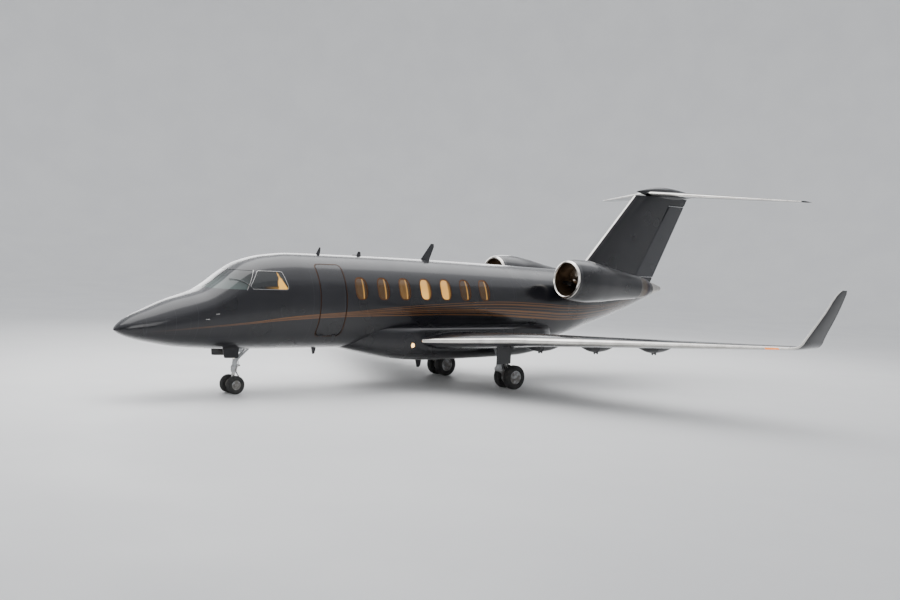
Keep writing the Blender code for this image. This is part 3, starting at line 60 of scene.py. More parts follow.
BREADTH = [(0, 0.012), (0.05, 0.14), (0.15, 0.25), (0.35, 0.385), (0.7, 0.55), (1.1, 0.69),
           (1.6, 0.82), (2.1, 0.92), (2.7, 1.015), (3.3, 1.085), (3.9, 1.135), (4.6, 1.17),
           (12.2, 1.17), (14.0, 1.07), (15.5, 0.86), (16.8, 0.61), (18.25, 0.27), (18.83, 0.085)]
FULLNESS = [(0, 2.0), (1.2, 2.0), (1.8, 2.2), (2.3, 2.42), (2.8, 2.42), (3.4, 2.2), (4.4, 2.0),
            (18.83, 2.0)]
WALL = 0.07     # thickness
NOSE_TIP = 1.62     # height of the tip
BANDS = {"nose": (0.6003, 1.72), "cockpit": (1.7203, 4.66), "cabin": (4.6603, 11.43),
         "aft": (11.4303, 18.25), "cone": (18.2503, 18.83)}     # first and last station of each body's skin
RADOME_END = 0.60
CONE_TIP = (18.80, 18.835, 2.82)        # front, rear, height
LINING_END = 11.40     # station
SEAMS = (0.60, 1.226, 1.72, 4.66, 11.43, 12.62, 14.3, 16.3)     # stations of the joints round the body
PANELS = ((2.05, 2.55, 1.45, 1.75), (1.0, 1.55, 1.55, 1.95), (12.9, 13.9, 1.75, 2.30))  # as DOOR, both sides
HATCH = (10.56, 11.35, 2.435, 3.02)     # as DOOR, port side only

WINDOWS = [6.11 + 0.691 * i for i in range(7)]
WINDOW_HEIGHT = 2.72
WINDOW_SIZE = (0.385, 0.575)
WINDOW_FULLNESS = 0.72      # exponent of the oval, 1 for an ellipse
PANE_REVEAL = 0.03     # depth of a window opening's edge
PANE_PLAY = 0.0006     # gap round a pane
DOOR = (4.88, 5.63, 1.50, 3.32)     # front, rear, sill, head
DOOR_RAKE = 0.17     # how far the door's edges rise per metre outwards
DOOR_CORNER = 0.10
DOOR_FOOT_CORNER = 0.14     # the door's own lower corners
HINGE_Y = 0.871
DOOR_HINGES = (5.06, 5.45)     # stations
DOOR_BARREL = (0.0196, 0.014)       # half-length, radius
DOOR_CHEEKS = (0.0238, 0.0378, 0.0266)      # from, to, radius
DOOR_PIN = 0.007
STEPS = (1.72, 2.02, 2.34, 2.66)     # heights in the closed door
STEP_TILT = math.radians(50)
STEP_DEPTH = 0.21
STEP_THICKNESS = 0.025
STEP_MARGIN = 0.12
FRONT_PANE = (0.045, 2.645, 3.10, 2.90, 0.27)       # post's half-width, sill, head, rear foot, its rake
SIDE_WINDOW = [(2.97, 2.672), (3.27, 3.085), (3.87, 3.085), (3.98, 2.672)]

FLOOR = (1.80, 11.40, 1.51, 1.56)   # front, rear, underside, top
DOORWAY = (4.866, 5.644, 0.738)     # front, rear, floor's edge there
SHIELD = (2.0, 2.55, 0.78, 2.50)    # front, rear, half-width, top
SEAT_SIDE = 0.45     # distance of a seat's middle from the jet's
SEAT_PADS = (((3.345, -0.245, 1.86), (3.80, 0.245, 2.01)), ((3.715, -0.235, 1.93), (3.865, 0.235, 2.58)),
             ((3.725, -0.14, 2.55), (3.855, 0.14, 2.725)))      # seat, back, headrest: low and high corners
PEDESTAL = (3.38, 3.82, 0.20, 1.82, 1.87)       # front, rear, half-width, shoulder, top
CEILING_LIGHT = (4.80, 11.20, 0.018)        # front, rear, radius

FAIRING_KEEL = [(6.0, 1.13), (6.47, 1.014), (7.12, 0.878), (7.79, 0.785), (8.6, 0.742),
                (9.6, 0.745), (11.67, 0.79), (12.6, 0.93), (13.4, 1.17)]
FAIRING_MIDDLE = 1.42
FAIRING_RISE = 0.42
FAIRING_CUT = 1.2697        # the wing roots' plane
FAIRING_BREADTH = [(6.0, 0.35), (6.5, 0.80), (7.1, 1.10), (7.7, 1.28), (8.2, 1.33), (12.2, 1.33),
                   (12.8, 1.12), (13.4, 0.55)]

WING = [(1.27, 8.01, 1.356, 4.10, 0.125), (3.6, 9.24, 1.572, 2.90, 0.115),
        (9.60, 12.40, 1.947, 0.95, 0.105)]      # place, leading edge, height, chord, thickness share
INCIDENCE = math.tan(math.radians(1.6))
CAMBER = 0.012
FLAP_SPAN = (1.325, 6.35)
FLAP_FRONT = 0.755
AILERON_SPAN = (6.55, 9.25)
AILERON_FRONT = 0.74
JACK_PAD = (2.9, 0.28, 1.27)        # place, chord share, foot
WING_PROUD = 0.0012     # the bare nose's height over the paint
SHINE = ((1.27, 0.004), (2.4, 0.009), (3.6, 0.020), (5.0, 0.042), (9.6, 0.052))     # span, chord share
TRACKS = [2.35, 4.1, 5.8]     # places of the flap's hinges
TRACK_DEPTH = 0.206     # hinge line's depth under the wing
FRONT_TRACK = [(0.76, 0.03), (0.68, 0.18), (0.5, 0.5), (0.25, 0.85), (0.01, 1.0)]   # distance ahead, size
REAR_TRACK = [(0.006, 1.0), (0.35, 0.85), (0.65, 0.5), (0.82, 0.2), (0.9, 0.05)]    # distance behind, size
PLAY = 0.008     # gap ahead of a flap or aileron, or round the door
NOSE_PLAY = 0.012     # gap ahead of a rudder's or elevator's round front
END_PLAY = 0.014     # gap beside a moving surface
EDGE = 0.004        # half-thickness of a trailing edge
WINGLET_ROOT = 9.6003
# Place, leading edge, height, chord, lean in degrees
WINGLET = [(9.603, 12.402, 1.947, 0.95, 4), (9.74, 12.45, 1.975, 0.92, 30), (9.84, 12.50, 2.05, 0.87, 60),
           (9.90, 12.55, 2.17, 0.80, 74), (10.13, 12.92, 2.80, 0.56, 74), (10.28, 13.19, 3.28, 0.36, 74),
           (10.30, 13.33, 3.36, 0.20, 74)]

FIN = [(2.95, 14.62, 3.72), (5.86, 17.41, 2.60)]    # height, leading edge, chord
RUDDER_SPAN = (3.20, 5.585)
RUDDER_LIFT = 0.045     # gap over the rudder
RUDDER_DROP = 0.028     # gap under it
WEB_PLAY = 0.010     # what the webs leave of both
FIN_JOINT = 3.73     # height of a panel joint
RUDDER_FRONT = [(3.316, 17.63), (5.563, 19.07)]     # height, station of the hinge line
FIN_SHINE = (3.30, 5.84, 0.008)     # foot, head, chord share
TAIL = [(0.0, 17.83, 5.955, 1.93, 0.09), (4.26, 20.37, 5.845, 0.56, 0.09)]      # as WING
TAIL_SHINE = (0.14, 4.255, 0.06)        # root, tip, chord share
BULLET = (17.46, 20.36, 5.985, 0.205)       # front, rear, height, radius
FIN_THICKNESS = 0.095
ELEVATOR_SPAN = (0.36, 4.02)
ELEVATOR_FRONT = 0.66

INLET = (12.87, 1.63, 3.11)     # station, side, height
ENGINE_TILT = math.radians(3.4)
# Distance aft of the inlet, radius
COWL = [(0.0, 0.505), (0.02, 0.538), (0.07, 0.563), (0.14, 0.582), (0.35, 0.608), (0.7, 0.622),
        (1.3, 0.575), (2.1, 0.465), (2.90, 0.372)]
DUCT = [(0.0, 0.505), (0.02, 0.482), (0.07, 0.466), (0.14, 0.455), (0.35, 0.445), (1.3, 0.445),
        (2.1, 0.385), (2.90, 0.335)]
LIP = 0.14     # depth
COWL_END = 2.90
LIP_SHINE = (0.050, 0.054)     # where the lip's bright front gives way to paint
FAN_AT = 0.50     # distance aft of the inlet
FAN_RADII = (0.135, 0.428)
NOZZLE = [(2.9003, 0.366), (3.02, 0.347), (3.15, 0.322), (3.27, 0.302), (3.375, 0.286), (3.38, 0.2835),
          (3.378, 0.272), (3.27, 0.284), (3.15, 0.302), (3.02, 0.327), (2.9003, 0.346)]
PYLON = (0.60, 1.35, 0.30, 2.55, 0.20, 0.10)    # inner, outer, setback, chord, thickness, drop

NOSE_WHEELS = (3.10, 0.0, 0.2285)       # station, side and height of the axle's middle
NOSE_TYRE = (0.18, 0.2285, 0.145, 0.118, 0.028)     # distance from the middle, radius, width, rim, axle
NOSE_BAY = [(2.62, 1.30), (2.68, 0.93), (3.06, 0.92), (3.10, 1.30)]
MAIN_WHEELS = (10.94, 1.55, 0.336)
MAIN_TYRE = (0.20, 0.336, 0.205, 0.19, 0.04)

# Aerials: station, foot, chord, chord at the tip, height (down if negative), sweep, thickness
AERIALS = ((5.36, 3.53, 0.13, 0.05, 0.19, 0.10, 0.018), (6.62, 3.52, 0.16, 0.08, 0.13, 0.06, 0.022),
           (8.76, 3.47, 0.32, 0.15, 0.48, 0.36, 0.035), (5.34, 1.12, 0.16, 0.07, -0.19, 0.05, 0.022),
           (8.74, 0.77, 0.26, 0.12, -0.29, 0.09, 0.030))
PROBES = ((2.186, 2.059), (1.95, 1.93))     # station, height
WICKS = (9.35, 9.45, 9.55)      # places
WIPER = (2.62, 3.04, 2.665)     # first and last station, height of the tip
ROOT_LAMP = (7.70, 1.262, 1.245)        # station, side, height
TIP_LAMP = (9.12, 9.40)     # first and last place


# Curves and sections

def line(points):
    """A curve through points with no overshoot: cubic pieces whose end slopes are harmonic means."""
    knots, values = np.array(points, float).T
    steps = np.diff(knots)
    slopes = np.diff(values) / steps
    near = 2 * steps[1:] + steps[:-1]
    far = steps[1:] + 2 * steps[:-1]
    same = slopes[:-1] * slopes[1:] > 0
    safe = np.where(same, slopes[:-1], 1.0), np.where(same, slopes[1:], 1.0)
    inner = np.where(same, (near + far) / (near / safe[0] + far / safe[1]), 0.0)
    tangents = np.concatenate([slopes[:1], inner, slopes[-1:]])

    def value(place):
        place = np.asarray(place, float)
        i = np.clip(np.searchsorted(knots, place) - 1, 0, len(steps) - 1)
        t = np.clip((place - knots[i]) / steps[i], 0, 1)
        rise = values[i + 1] - values[i]
        start, end = tangents[i] * steps[i], tangents[i + 1] * steps[i]
        return (values[i] + start * t + (3 * rise - 2 * start - end) * t ** 2
                + (start + end - 2 * rise) * t ** 3)
    return value


crown, keel, waist, breadth, fullness = (line(points) for points in (CROWN, KEEL, WAIST, BREADTH, FULLNESS))


def signed_power(value, exponent):
    """A power of the size, with the sign kept."""
    return np.sign(value) * np.abs(value) ** exponent


def hull(station, angle, inset=0.0):
    """Fuselage skin: station, and angle from the crown, positive to starboard. The upper half is a
    superellipse of the station's fullness and the lower half an ellipse."""
    station, angle = np.broadcast_arrays(np.asarray(station, float), np.asarray(angle, float))
    middle = waist(station)
    across = np.maximum(breadth(station) - inset, 0.003)
    up = np.maximum(crown(station) - middle - inset, 0.003)
    down = np.maximum(middle - keel(station) - inset, 0.003)
    swell = np.where(np.cos(angle) > 0, 2 / fullness(station), 1.0)
    rise, out = signed_power(np.cos(angle), swell), signed_power(np.sin(angle), swell)
    return np.stack([station - HALF_LENGTH, across * out, middle + np.where(rise > 0, up, down) * rise], -1)


def hull_angle(station, height):
    """Angle from the crown at which the skin reaches a height."""
    station, height = np.broadcast_arrays(np.asarray(station, float), np.asarray(height, float))
    middle = waist(station)
    reach = np.where(height > middle, crown(station) - middle, middle - keel(station))
    share = np.clip((height - middle) / reach, -1, 1)
    return np.arccos(signed_power(share, np.where(share > 0, fullness(station) / 2, 1.0)))


def outward(surface, a, b, step=2e-4):
    """Unit normals of a surface of two parameters, from its differences both ways."""
    along = surface(a + step, b) - surface(a - step, b)
    around = surface(a, b + step) - surface(a, b - step)
    normal = np.cross(along, around)
    size = np.linalg.norm(normal, axis=-1, keepdims=True)
    return normal / np.where(size > 1e-12, size, 1.0)


def foil(share, thickness):
    """Half-thickness of a classic four-digit section, closed at the trailing edge."""
    share = np.clip(share, 0, 1)
    curve = (0.2969 * np.sqrt(share) - 0.1260 * share - 0.3516 * share ** 2 + 0.2843 * share ** 3
             - 0.1036 * share ** 4)
    return 5 * thickness * curve


def at_place(stations, place):
    """Straight-line values between the stations of a lifting surface."""
    stations = np.array(stations)
    return [float(np.interp(place, stations[:, 0], stations[:, i])) for i in range(1, stations.shape[1])]


def wing_line(place, share, level=0.0):
    """A point of the wing as (x, y, z), level +1 on the top skin and -1 on the bottom skin."""
    lead, height, chord, thickness = at_place(WING, place)
    x = share * chord
    z = CAMBER * chord * 4 * share * (1 - share) + level * foil(share, thickness) * chord
    return np.array([lead + x - HALF_LENGTH, place, height + z - x * INCIDENCE])


def front_share(place, span, share):
    """Chord share where a moving surface's straight front line crosses a place."""
    first, last = wing_line(span[0], share)[0], wing_line(span[1], share)[0]
    x = first + (last - first) * (place - span[0]) / (span[1] - span[0])
    lead, _, chord, _ = at_place(WING, place)
    return (x + HALF_LENGTH - lead) / chord


def section(chord, thickness, camber=0.0, start=0.0, end=1.0, count=26):
    """Loop of (along, up) points: over the top from front to rear and back below. The shares are
    squares of even steps, which crowds them at the nose."""
    share = np.linspace(math.sqrt(start), math.sqrt(end), count) ** 2
    half = np.maximum(foil(share, thickness) * chord, EDGE * (share > 0.3))
    middle = camber * chord * 4 * share * (1 - share)
    top = np.stack([share * chord, middle + half], -1)
    low = np.stack([share * chord, middle - half], -1)
    return np.concatenate([top, low[::-1][:-1] if start == 0 else low[::-1]])


def stood(loop, lead, across, height, incidence=0.0):
    """(along, up) points stood up aft of a leading edge, all at one Y. Incidence drops each point by its
    share of the distance along."""
    return np.stack([lead + loop[:, 0] - HALF_LENGTH, np.full(len(loop), across),
                     height + loop[:, 1] - loop[:, 0] * incidence], -1)


def laid(loop, lead, height):
    """(along, across) points laid flat aft of a leading edge, all at one height."""
    return np.stack([lead + loop[:, 0] - HALF_LENGTH, loop[:, 1], np.full(len(loop), height)], -1)


def hinged(chord, thickness, share, camber=0.0):
    """Loop of a moving surface: the section behind its hinge line, and a round front about that line that
    fills the section's thickness."""
    radius = float(foil(share, thickness)) * chord
    angle = np.linspace(1.5 * math.pi, 0.5 * math.pi, 14)[1:-1]
    front = np.stack([share * chord + radius * np.cos(angle),
                      camber * chord * 4 * share * (1 - share) + radius * np.sin(angle)], -1)
    return np.concatenate([section(chord, thickness, camber, share), front])


# Meshes

def quads_between(rows, columns, closed=False, looped=False):
    """Corner numbers of the quads that join a grid's neighbouring points. closed joins the ends of each
    row, looped joins the last row to the first."""
    index = np.arange(rows * columns).reshape(rows, columns)
    if closed:
        index = np.concatenate([index, index[:, :1]], 1)
    if looped:
        index = np.concatenate([index, index[:1]], 0)
    return np.stack([index[:-1, :-1], index[:-1, 1:], index[1:, 1:], index[1:, :-1]], -1).reshape(-1, 4)


def orient(faces, points, normals):
    """Faces turned so that they look along the normals of their first corners."""
    a, b, c = (points[faces[:, i]] for i in range(3))
    facing = np.cross(b - a, c - a) * normals[faces[:, 0]]
    return np.where((facing.sum(1) < 0)[:, None], faces[:, ::-1], faces)


class Skin:
    """Collects surface patches as arrays and turns them into one object."""

    def __init__(self):
        self.points, self.faces, self.normals, self.count = [], [], [], 0
        self.exact = False

    def add(self, points, faces, normals=None):
        """Takes a patch. A piece keeps the normals that its patches bring, if any do."""
        points = np.asarray(points, float).reshape(-1, 3)
        self.faces += [tuple(face + self.count) for face in faces]
        self.points.append(points)
        self.normals.append(np.zeros_like(points) if normals is None else normals.reshape(-1, 3))
        self.exact = self.exact or normals is not None
        self.count += len(points)
        return self

    def grid(self, points, closed=False, looped=False):
        """Quads over an array of rows."""
        return self.add(points, quads_between(*points.shape[:2], closed, looped))

    def loft(self, rings):
        """Closed rings joined in order, with flat ends."""
        rings = np.asarray(rings, float)
        start, columns = self.count, rings.shape[1]
        self.grid(rings, closed=True)
        last = self.count - columns
        self.faces.append(tuple(range(start + columns - 1, start - 1, -1)))
        self.faces.append(tuple(range(last, last + columns)))
        return self

    def make(self, name, finish, body, slot, *nodes, sharp=35.0):
        """Builds the object, merges doubles, points its faces out and hands it to the frame."""
        mesh = bpy.data.meshes.new(name)
        mesh.from_pydata(np.concatenate(self.points).tolist(), [], self.faces)
        mesh.validate()
        item = bpy.data.objects.new(name, mesh)
        bpy.context.collection.objects.link(item)
        mesh.shade_smooth()
        if self.exact:
            mesh.normals_split_custom_set_from_vertices(np.concatenate(self.normals).tolist())
        else:
            tidy(mesh)
            mesh.set_sharp_from_angle(angle=math.radians(sharp))
        mesh.materials.append(finish.material)
        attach(item, body)
        if nodes:
            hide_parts(*nodes)
        return item


def tidy(mesh):
    """Merges doubled points and turns each closed shell's faces outwards."""
    bm = bmesh.new()
    bm.from_mesh(mesh)
    bmesh.ops.remove_doubles(bm, verts=bm.verts, dist=1e-5)
    bmesh.ops.recalc_face_normals(bm, faces=bm.faces)
    bm.to_mesh(mesh)
    bm.free()
    mesh.shade_smooth()


def inside(points, loop):
    """Even-odd test of many points against one closed outline."""
    x, y = points[:, :1], points[:, 1:]
    ax, ay = loop[:, 0], loop[:, 1]
    bx, by = np.roll(ax, -1), np.roll(ay, -1)
    crosses = (ay > y) != (by > y)
    rise = np.where(by == ay, 1.0, by - ay)
    return (crosses & (x < (bx - ax) * (y - ay) / rise + ax)).sum(1) % 2 == 1


def near(points, loop, reach):
    """Whether points lie closer than a reach to an outline's corners."""
    gap = np.full(len(points), np.inf)
    for part in np.array_split(loop, max(1, len(loop) // 64)):
        distance = np.linalg.norm(points[:, None] - part[None], axis=-1).min(1)
        gap = np.minimum(gap, distance)
    return gap < reach


def trimmed(skin, surface, outer, holes, spacing, flip=False):
    """A surface of (station, angle) filled inside one outline and outside others. A triangulation that
    keeps the outlines as edges joins an even lattice to them."""
    low, high = outer.min(0), outer.max(0)
    counts = [max(2, int(round((high[i] - low[i]) / spacing[i]))) for i in range(2)]
    lattice = np.stack(np.meshgrid(*[np.linspace(low[i], high[i], counts[i] + 1) for i in range(2)],
                                   indexing="ij"), -1).reshape(-1, 2)
    scale = np.array(spacing)
    keep = inside(lattice, outer) & ~near(lattice / scale, outer / scale, 0.45)
    for hole in holes:
        keep &= ~inside(lattice, hole) & ~near(lattice / scale, hole / scale, 0.45)
    loops = [outer, *holes]
    points = np.concatenate([*loops, lattice[keep]])
    edges, start = [], 0
    for loop in loops:
        count = len(loop)
        edges += [(start + i, start + (i + 1) % count) for i in range(count)]
        start += count
    result = delaunay_2d_cdt([Vector(p) for p in (points / scale).tolist()], edges, [], 0, 1e-6)
    flat = np.array([tuple(p) for p in result[0]]) * scale
    faces = np.array(result[2])
    middle = flat[faces].mean(1)
    keep = inside(middle, outer)
    for hole in holes:
        keep &= ~inside(middle, hole)
    faces = faces[keep]
    place = surface(flat[:, 0], flat[:, 1])
    normal = outward(surface, flat[:, 0], flat[:, 1])
    faces = orient(faces, place, normal)
    if flip:
        faces, normal = faces[:, ::-1], -normal
    return skin.add(place, faces, normal)


def reveal(skin, surface, loop, near_depth, far_depth, inward=1.0):
    """The edge of an opening or panel: its outline carried from one depth of the surface to another. It
    faces its middle, or away from it where inward is -1."""
    rows = [surface(loop[:, 0], loop[:, 1]) - outward(surface, loop[:, 0], loop[:, 1]) * depth
            for depth in (near_depth, far_depth)]
    points = np.stack(rows)
    quads = quads_between(2, len(loop), closed=True)
    tangent = np.roll(points[0], -1, 0) - np.roll(points[0], 1, 0)
    depth = points[1] - points[0]
    normal = np.cross(tangent, depth)
    normal /= np.linalg.norm(normal, axis=-1, keepdims=True)
    centre = points[0].mean(0)
    wanted = np.sign(((centre - points[0]) * normal).sum(1)).sum() * inward
    if wanted < 0:
        normal = -normal
    normals = np.concatenate([normal, normal])
    return skin.add(points, orient(quads, points.reshape(-1, 3), normals), normals)


def resample(points, count):
    """Evenly spaced points along a closed outline."""
    points = np.asarray(points, float)
    ring = np.concatenate([points, points[:1]])
    length = np.concatenate([[0], np.cumsum(np.linalg.norm(np.diff(ring, axis=0), axis=1))])
    places = np.linspace(0, length[-1], count, endpoint=False)
    return np.stack([np.interp(places, length, ring[:, i]) for i in range(2)], -1)


def corners(near, far, low, high):
    """The four corners of an oblong, in order."""
    return [(near, low), (far, low), (far, high), (near, high)]


def rounded(points, radius, steps=8):
    """An outline with arcs for corners, of one radius or one each. Each arc touches both sides of its
    corner."""
    outline = []
    points = [Vector(p) for p in points]
    radii = np.broadcast_to(radius, len(points)).tolist()
    for i, (corner, radius) in enumerate(zip(points, radii)):
        before = (points[i - 1] - corner).normalized()
        after = (points[(i + 1) % len(points)] - corner).normalized()
        half = before.angle(after) / 2
        centre = corner + (before + after).normalized() * radius / math.sin(half)
        start = corner + before * (radius / math.tan(half)) - centre
        end = corner + after * (radius / math.tan(half)) - centre
        outline += [centre + start.slerp(end, k / steps).normalized() * radius for k in range(steps + 1)]
    return np.array([tuple(point) for point in outline])


def fine(points, step):
    """A closed outline with more points along its long sides, each side cut into equal parts."""
    after = np.roll(points, -1, 0)
    parts = np.maximum(1, np.ceil(np.linalg.norm(after - points, axis=1) / step)).astype(int)
    side = np.repeat(np.arange(len(points)), parts)
    share = (np.arange(len(side)) - np.repeat(np.cumsum(parts) - parts, parts)) / parts[side]
    return points[side] + (after[side] - points[side]) * share[:, None]


def shrunk(loop, margin):
    """An outline moved inwards along its normals."""
    tangent = np.roll(loop, -1, 0) - np.roll(loop, 1, 0)
    tangent /= np.linalg.norm(tangent, axis=1, keepdims=True)
    area = (loop[:, 0] * np.roll(loop[:, 1], -1) - np.roll(loop[:, 0], -1) * loop[:, 1]).sum()
    return loop + np.sign(area) * margin * np.stack([-tangent[:, 1], tangent[:, 0]], -1)


def to_hull(loop, side):
    """(station, height) points of a side view as (station, angle) on one side."""
    return np.stack([loop[:, 0], side * hull_angle(loop[:, 0], loop[:, 1])], -1)


def circles(axis, sides):
    """Unit circles across an axis, or across each of a row of axes."""
    hint = [0.0, 0.0, 1.0] if abs(np.atleast_2d(axis)[0, 2]) < 0.9 else [1.0, 0.0, 0.0]
    side = np.cross(axis, hint)
    side /= np.linalg.norm(side, axis=-1, keepdims=True)
    angle = np.arange(sides)[:, None] / sides * TURN
    return np.cos(angle) * side[..., None, :] + np.sin(angle) * np.cross(axis, side)[..., None, :]


def bar(skin, path, radius, sides=20):
    """A round bar along a path, whose radius may change from point to point: circles across the path's
    direction at each point."""
    path = np.asarray(path, float)
    radius = np.broadcast_to(np.asarray(radius, float), (len(path),))
    tangent = np.gradient(path, axis=0)
    tangent /= np.maximum(np.linalg.norm(tangent, axis=1, keepdims=True), 1e-9)
    return skin.loft(path[:, None] + radius[:, None, None] * circles(tangent, sides))


def spun(skin, profile, centre, axis, sides=64, looped=False):
    """A profile of (along, radius) turned about an axis through a centre."""
    profile = np.asarray(profile, float)
    axis = np.asarray(axis, float) / np.linalg.norm(axis)
    rings = np.asarray(centre) + profile[:, :1, None] * axis + profile[:, 1:2, None] * circles(axis, sides)
    return skin.grid(rings, closed=True, looped=looped)


# Finishes

class Wire:
    """A number in a material's node tree, which Python's operators can work on."""

    def __init__(self, finish, socket):
        self.finish, self.socket = finish, socket

    def math(self, operation, *others):
        values = {i: value for i, value in enumerate((self, *others))}
        return self.finish.node("ShaderNodeMath", {"operation": operation}, values)

    def __add__(self, other):
        return self.math("ADD", other)

    def __mul__(self, other):
        return self.math("MULTIPLY", other)

    def __sub__(self, other):
        return self.math("SUBTRACT", other)

    def __truediv__(self, other):
        return self.math("DIVIDE", other)

    def __rsub__(self, other):
        return self.finish.node("ShaderNodeMath", {"operation": "SUBTRACT"}, {0: other, 1: self})

    __radd__ = __add__
    __rmul__ = __mul__

    def __abs__(self):
        return self.math("ABSOLUTE")

    def __mod__(self, other):
        return self.math("FLOORED_MODULO", other)

    def most(self, other):
        return self.math("MAXIMUM", other)

    def step(self, low, high, start=0.0, end=1.0):
        """Smooth change from start to end between two values."""
        sockets = {"Value": self, "From Min": low, "From Max": high, "To Min": start, "To Max": end}
        return self.finish.node("ShaderNodeMapRange", {"interpolation_type": "SMOOTHSTEP"}, sockets)

    def line(self, place, width, soft):
        """1 within a width round a place, 0 beyond a soft edge."""
        return abs(self - place).step(width / 2, width / 2 + soft, 1.0, 0.0)

    def curve(self, points, low, high):
        """A value read off a smooth curve of points. The curve itself runs from 0 to 1 both ways."""
        places, values = np.array(points, float).T
        bottom, top = float(values.min()), float(values.max())
        share = self.finish.node("ShaderNodeMapRange", {}, {"Value": self, "From Min": low, "From Max": high})
        stops = [((p - low) / (high - low), (v - bottom) / (top - bottom)) for p, v in zip(places, values)]
        node = self.finish.tree.nodes.new("ShaderNodeFloatCurve")
        bends = node.mapping.curves[0]
        for _ in stops[2:]:
            bends.points.new(0.5, 0.5)
        for point, stop in zip(sorted(bends.points, key=lambda p: p.location.x), stops):
            point.location = stop
        node.mapping.update()
        self.finish.tree.links.new(share.socket, node.inputs["Value"])
        return Wire(self.finish, node.outputs[0]) * (top - bottom) + bottom


class Finish:
    """A material. Steady values go on the shader itself, and changing ones are linked in."""

    def __init__(self, name, colour, roughness, metallic=0.0, **steady):
        self.material = bpy.data.materials.new(name)
        self.material.use_nodes = True
        self.tree = self.material.node_tree
        self.shader = self.tree.nodes["Principled BSDF"]
        self.set("Base Color", colour)
        self.set("Roughness", roughness)
        self.set("Metallic", metallic)
        for key, value in steady.items():
            self.set(key.replace("_", " "), value)
        place = self.tree.nodes.new("ShaderNodeTexCoord").outputs["Object"]
        self.place = Wire(self, place)
        split = self.tree.nodes.new("ShaderNodeSeparateXYZ")
        self.tree.links.new(place, split.inputs[0])
        self.x, self.y, self.z = (Wire(self, split.outputs[i]) for i in range(3))

    def set(self, key, value):
        """Links a wire to one of the shader's sockets, or sets the socket to a number or colour."""
        socket = self.shader.inputs[key]
        if isinstance(value, Wire):
            self.tree.links.new(value.socket, socket)
        elif isinstance(value, tuple) and len(value) == 3:
            socket.default_value = (*value, 1.0)
        else:
            socket.default_value = value

    def node(self, kind, settings, values, output=0):
        """Adds a node with its settings, then its sockets' values and links."""
        node = self.tree.nodes.new(kind)
        for key, value in settings.items():
            setattr(node, key, value)
        for key, value in values.items():
            if isinstance(value, Wire):
                self.tree.links.new(value.socket, node.inputs[key])
            else:
                node.inputs[key].default_value = value
        return Wire(self, node.outputs[output])

    def noise(self, scale, detail=3.0, stretch=None):
        """Clouds of about one per 1/scale metres; a stretch squeezes them along each axis."""
        place = self.place
        if stretch:
            place = self.node("ShaderNodeMapping", {}, {"Vector": place, "Scale": stretch})
        return self.node("ShaderNodeTexNoise", {}, {"Vector": place, "Scale": scale, "Detail": detail})

    def mix(self, share, first, second):
        """The first colour turned into the second by a share."""
        first, second = ((*c, 1.0) if isinstance(c, tuple) else c for c in (first, second))
        return self.node("ShaderNodeMix", {"data_type": "RGBA"}, {0: share, 6: first, 7: second}, 2)

    def bump(self, height, distance, strength):
        """Fine relief."""
        normal = self.node("ShaderNodeBump", {},
                           {"Height": height, "Distance": distance, "Strength": strength})
        self.tree.links.new(normal.socket, self.shader.inputs["Normal"])


# Where the copper lines run: station, and height of the lowest and the highest
COPPER_LINES = [(0.3, 1.565, 1.583), (0.73, 1.603, 1.627), (1.22, 1.65, 1.677), (1.77, 1.706, 1.735),
                (2.98, 1.82, 1.858), (4.3, 1.935, 2.021), (5.74, 1.996, 2.124), (7.3, 2.019, 2.256),
                (9, 2.029, 2.357), (10.8, 1.983, 2.422), (12.35, 1.905, 2.388), (13.6, 1.85, 2.33),
                (15, 1.93, 2.34), (16.4, 2.16, 2.47), (18.2, 2.62, 2.77)]
# Each line's place between those two, its width, and its strength aft and near the nose
STRANDS = ((0.07, 0.10, 1.0, 0.85), (0.26, 0.075, 0.85, 0.3), (0.45, 0.10, 1.0, 0.3),
           (0.63, 0.055, 0.7, 0.3), (0.79, 0.085, 0.9, 0.55), (0.95, 0.05, 0.8, 1.0))

BLACK = (0.0045, 0.0045, 0.0065)
CLOUDED_BLACK = (0.007, 0.007, 0.010)
BRIGHT_METAL = (0.86, 0.83, 0.78)
COAT = {"Coat_Roughness": 0.13, "Coat_IOR": 1.38}
PANE_COAT = {"Coat_Weight": 1.0, "Coat_IOR": 1.36, "Specular_IOR_Level": 0.2}
COPPER = (0.135, 0.055, 0.019)
BRIGHT_COPPER = (0.235, 0.11, 0.042)
DUCT_TONE = (0.17, 0.115, 0.070)
PANE_LEVELS = (0.045, 0.035, 0.11, 1.0, 0.88, 0.02, 0.03)     # how brightly each cabin window is lit


def glossy_paint(name, colour=BLACK, grime=0.02):
    """Clear-coated paint: slight cloudiness of gloss and the faint ripple of sprayed lacquer."""
    finish = Finish(name, colour, 0.3, Coat_Weight=1.0, Specular_IOR_Level=0.2, **COAT)
    cloud = finish.noise(1.3, 1.0)
    dusty = tuple(c + grime * 0.12 for c in colour)
    finish.set("Roughness", cloud.step(0.3, 0.75, 0.26, 0.42))
    finish.set("Base Color", finish.mix(cloud.step(0.35, 0.8), colour, dusty))
    finish.bump(finish.noise(55.0, 1.0), 0.0006, 0.04)
    return finish


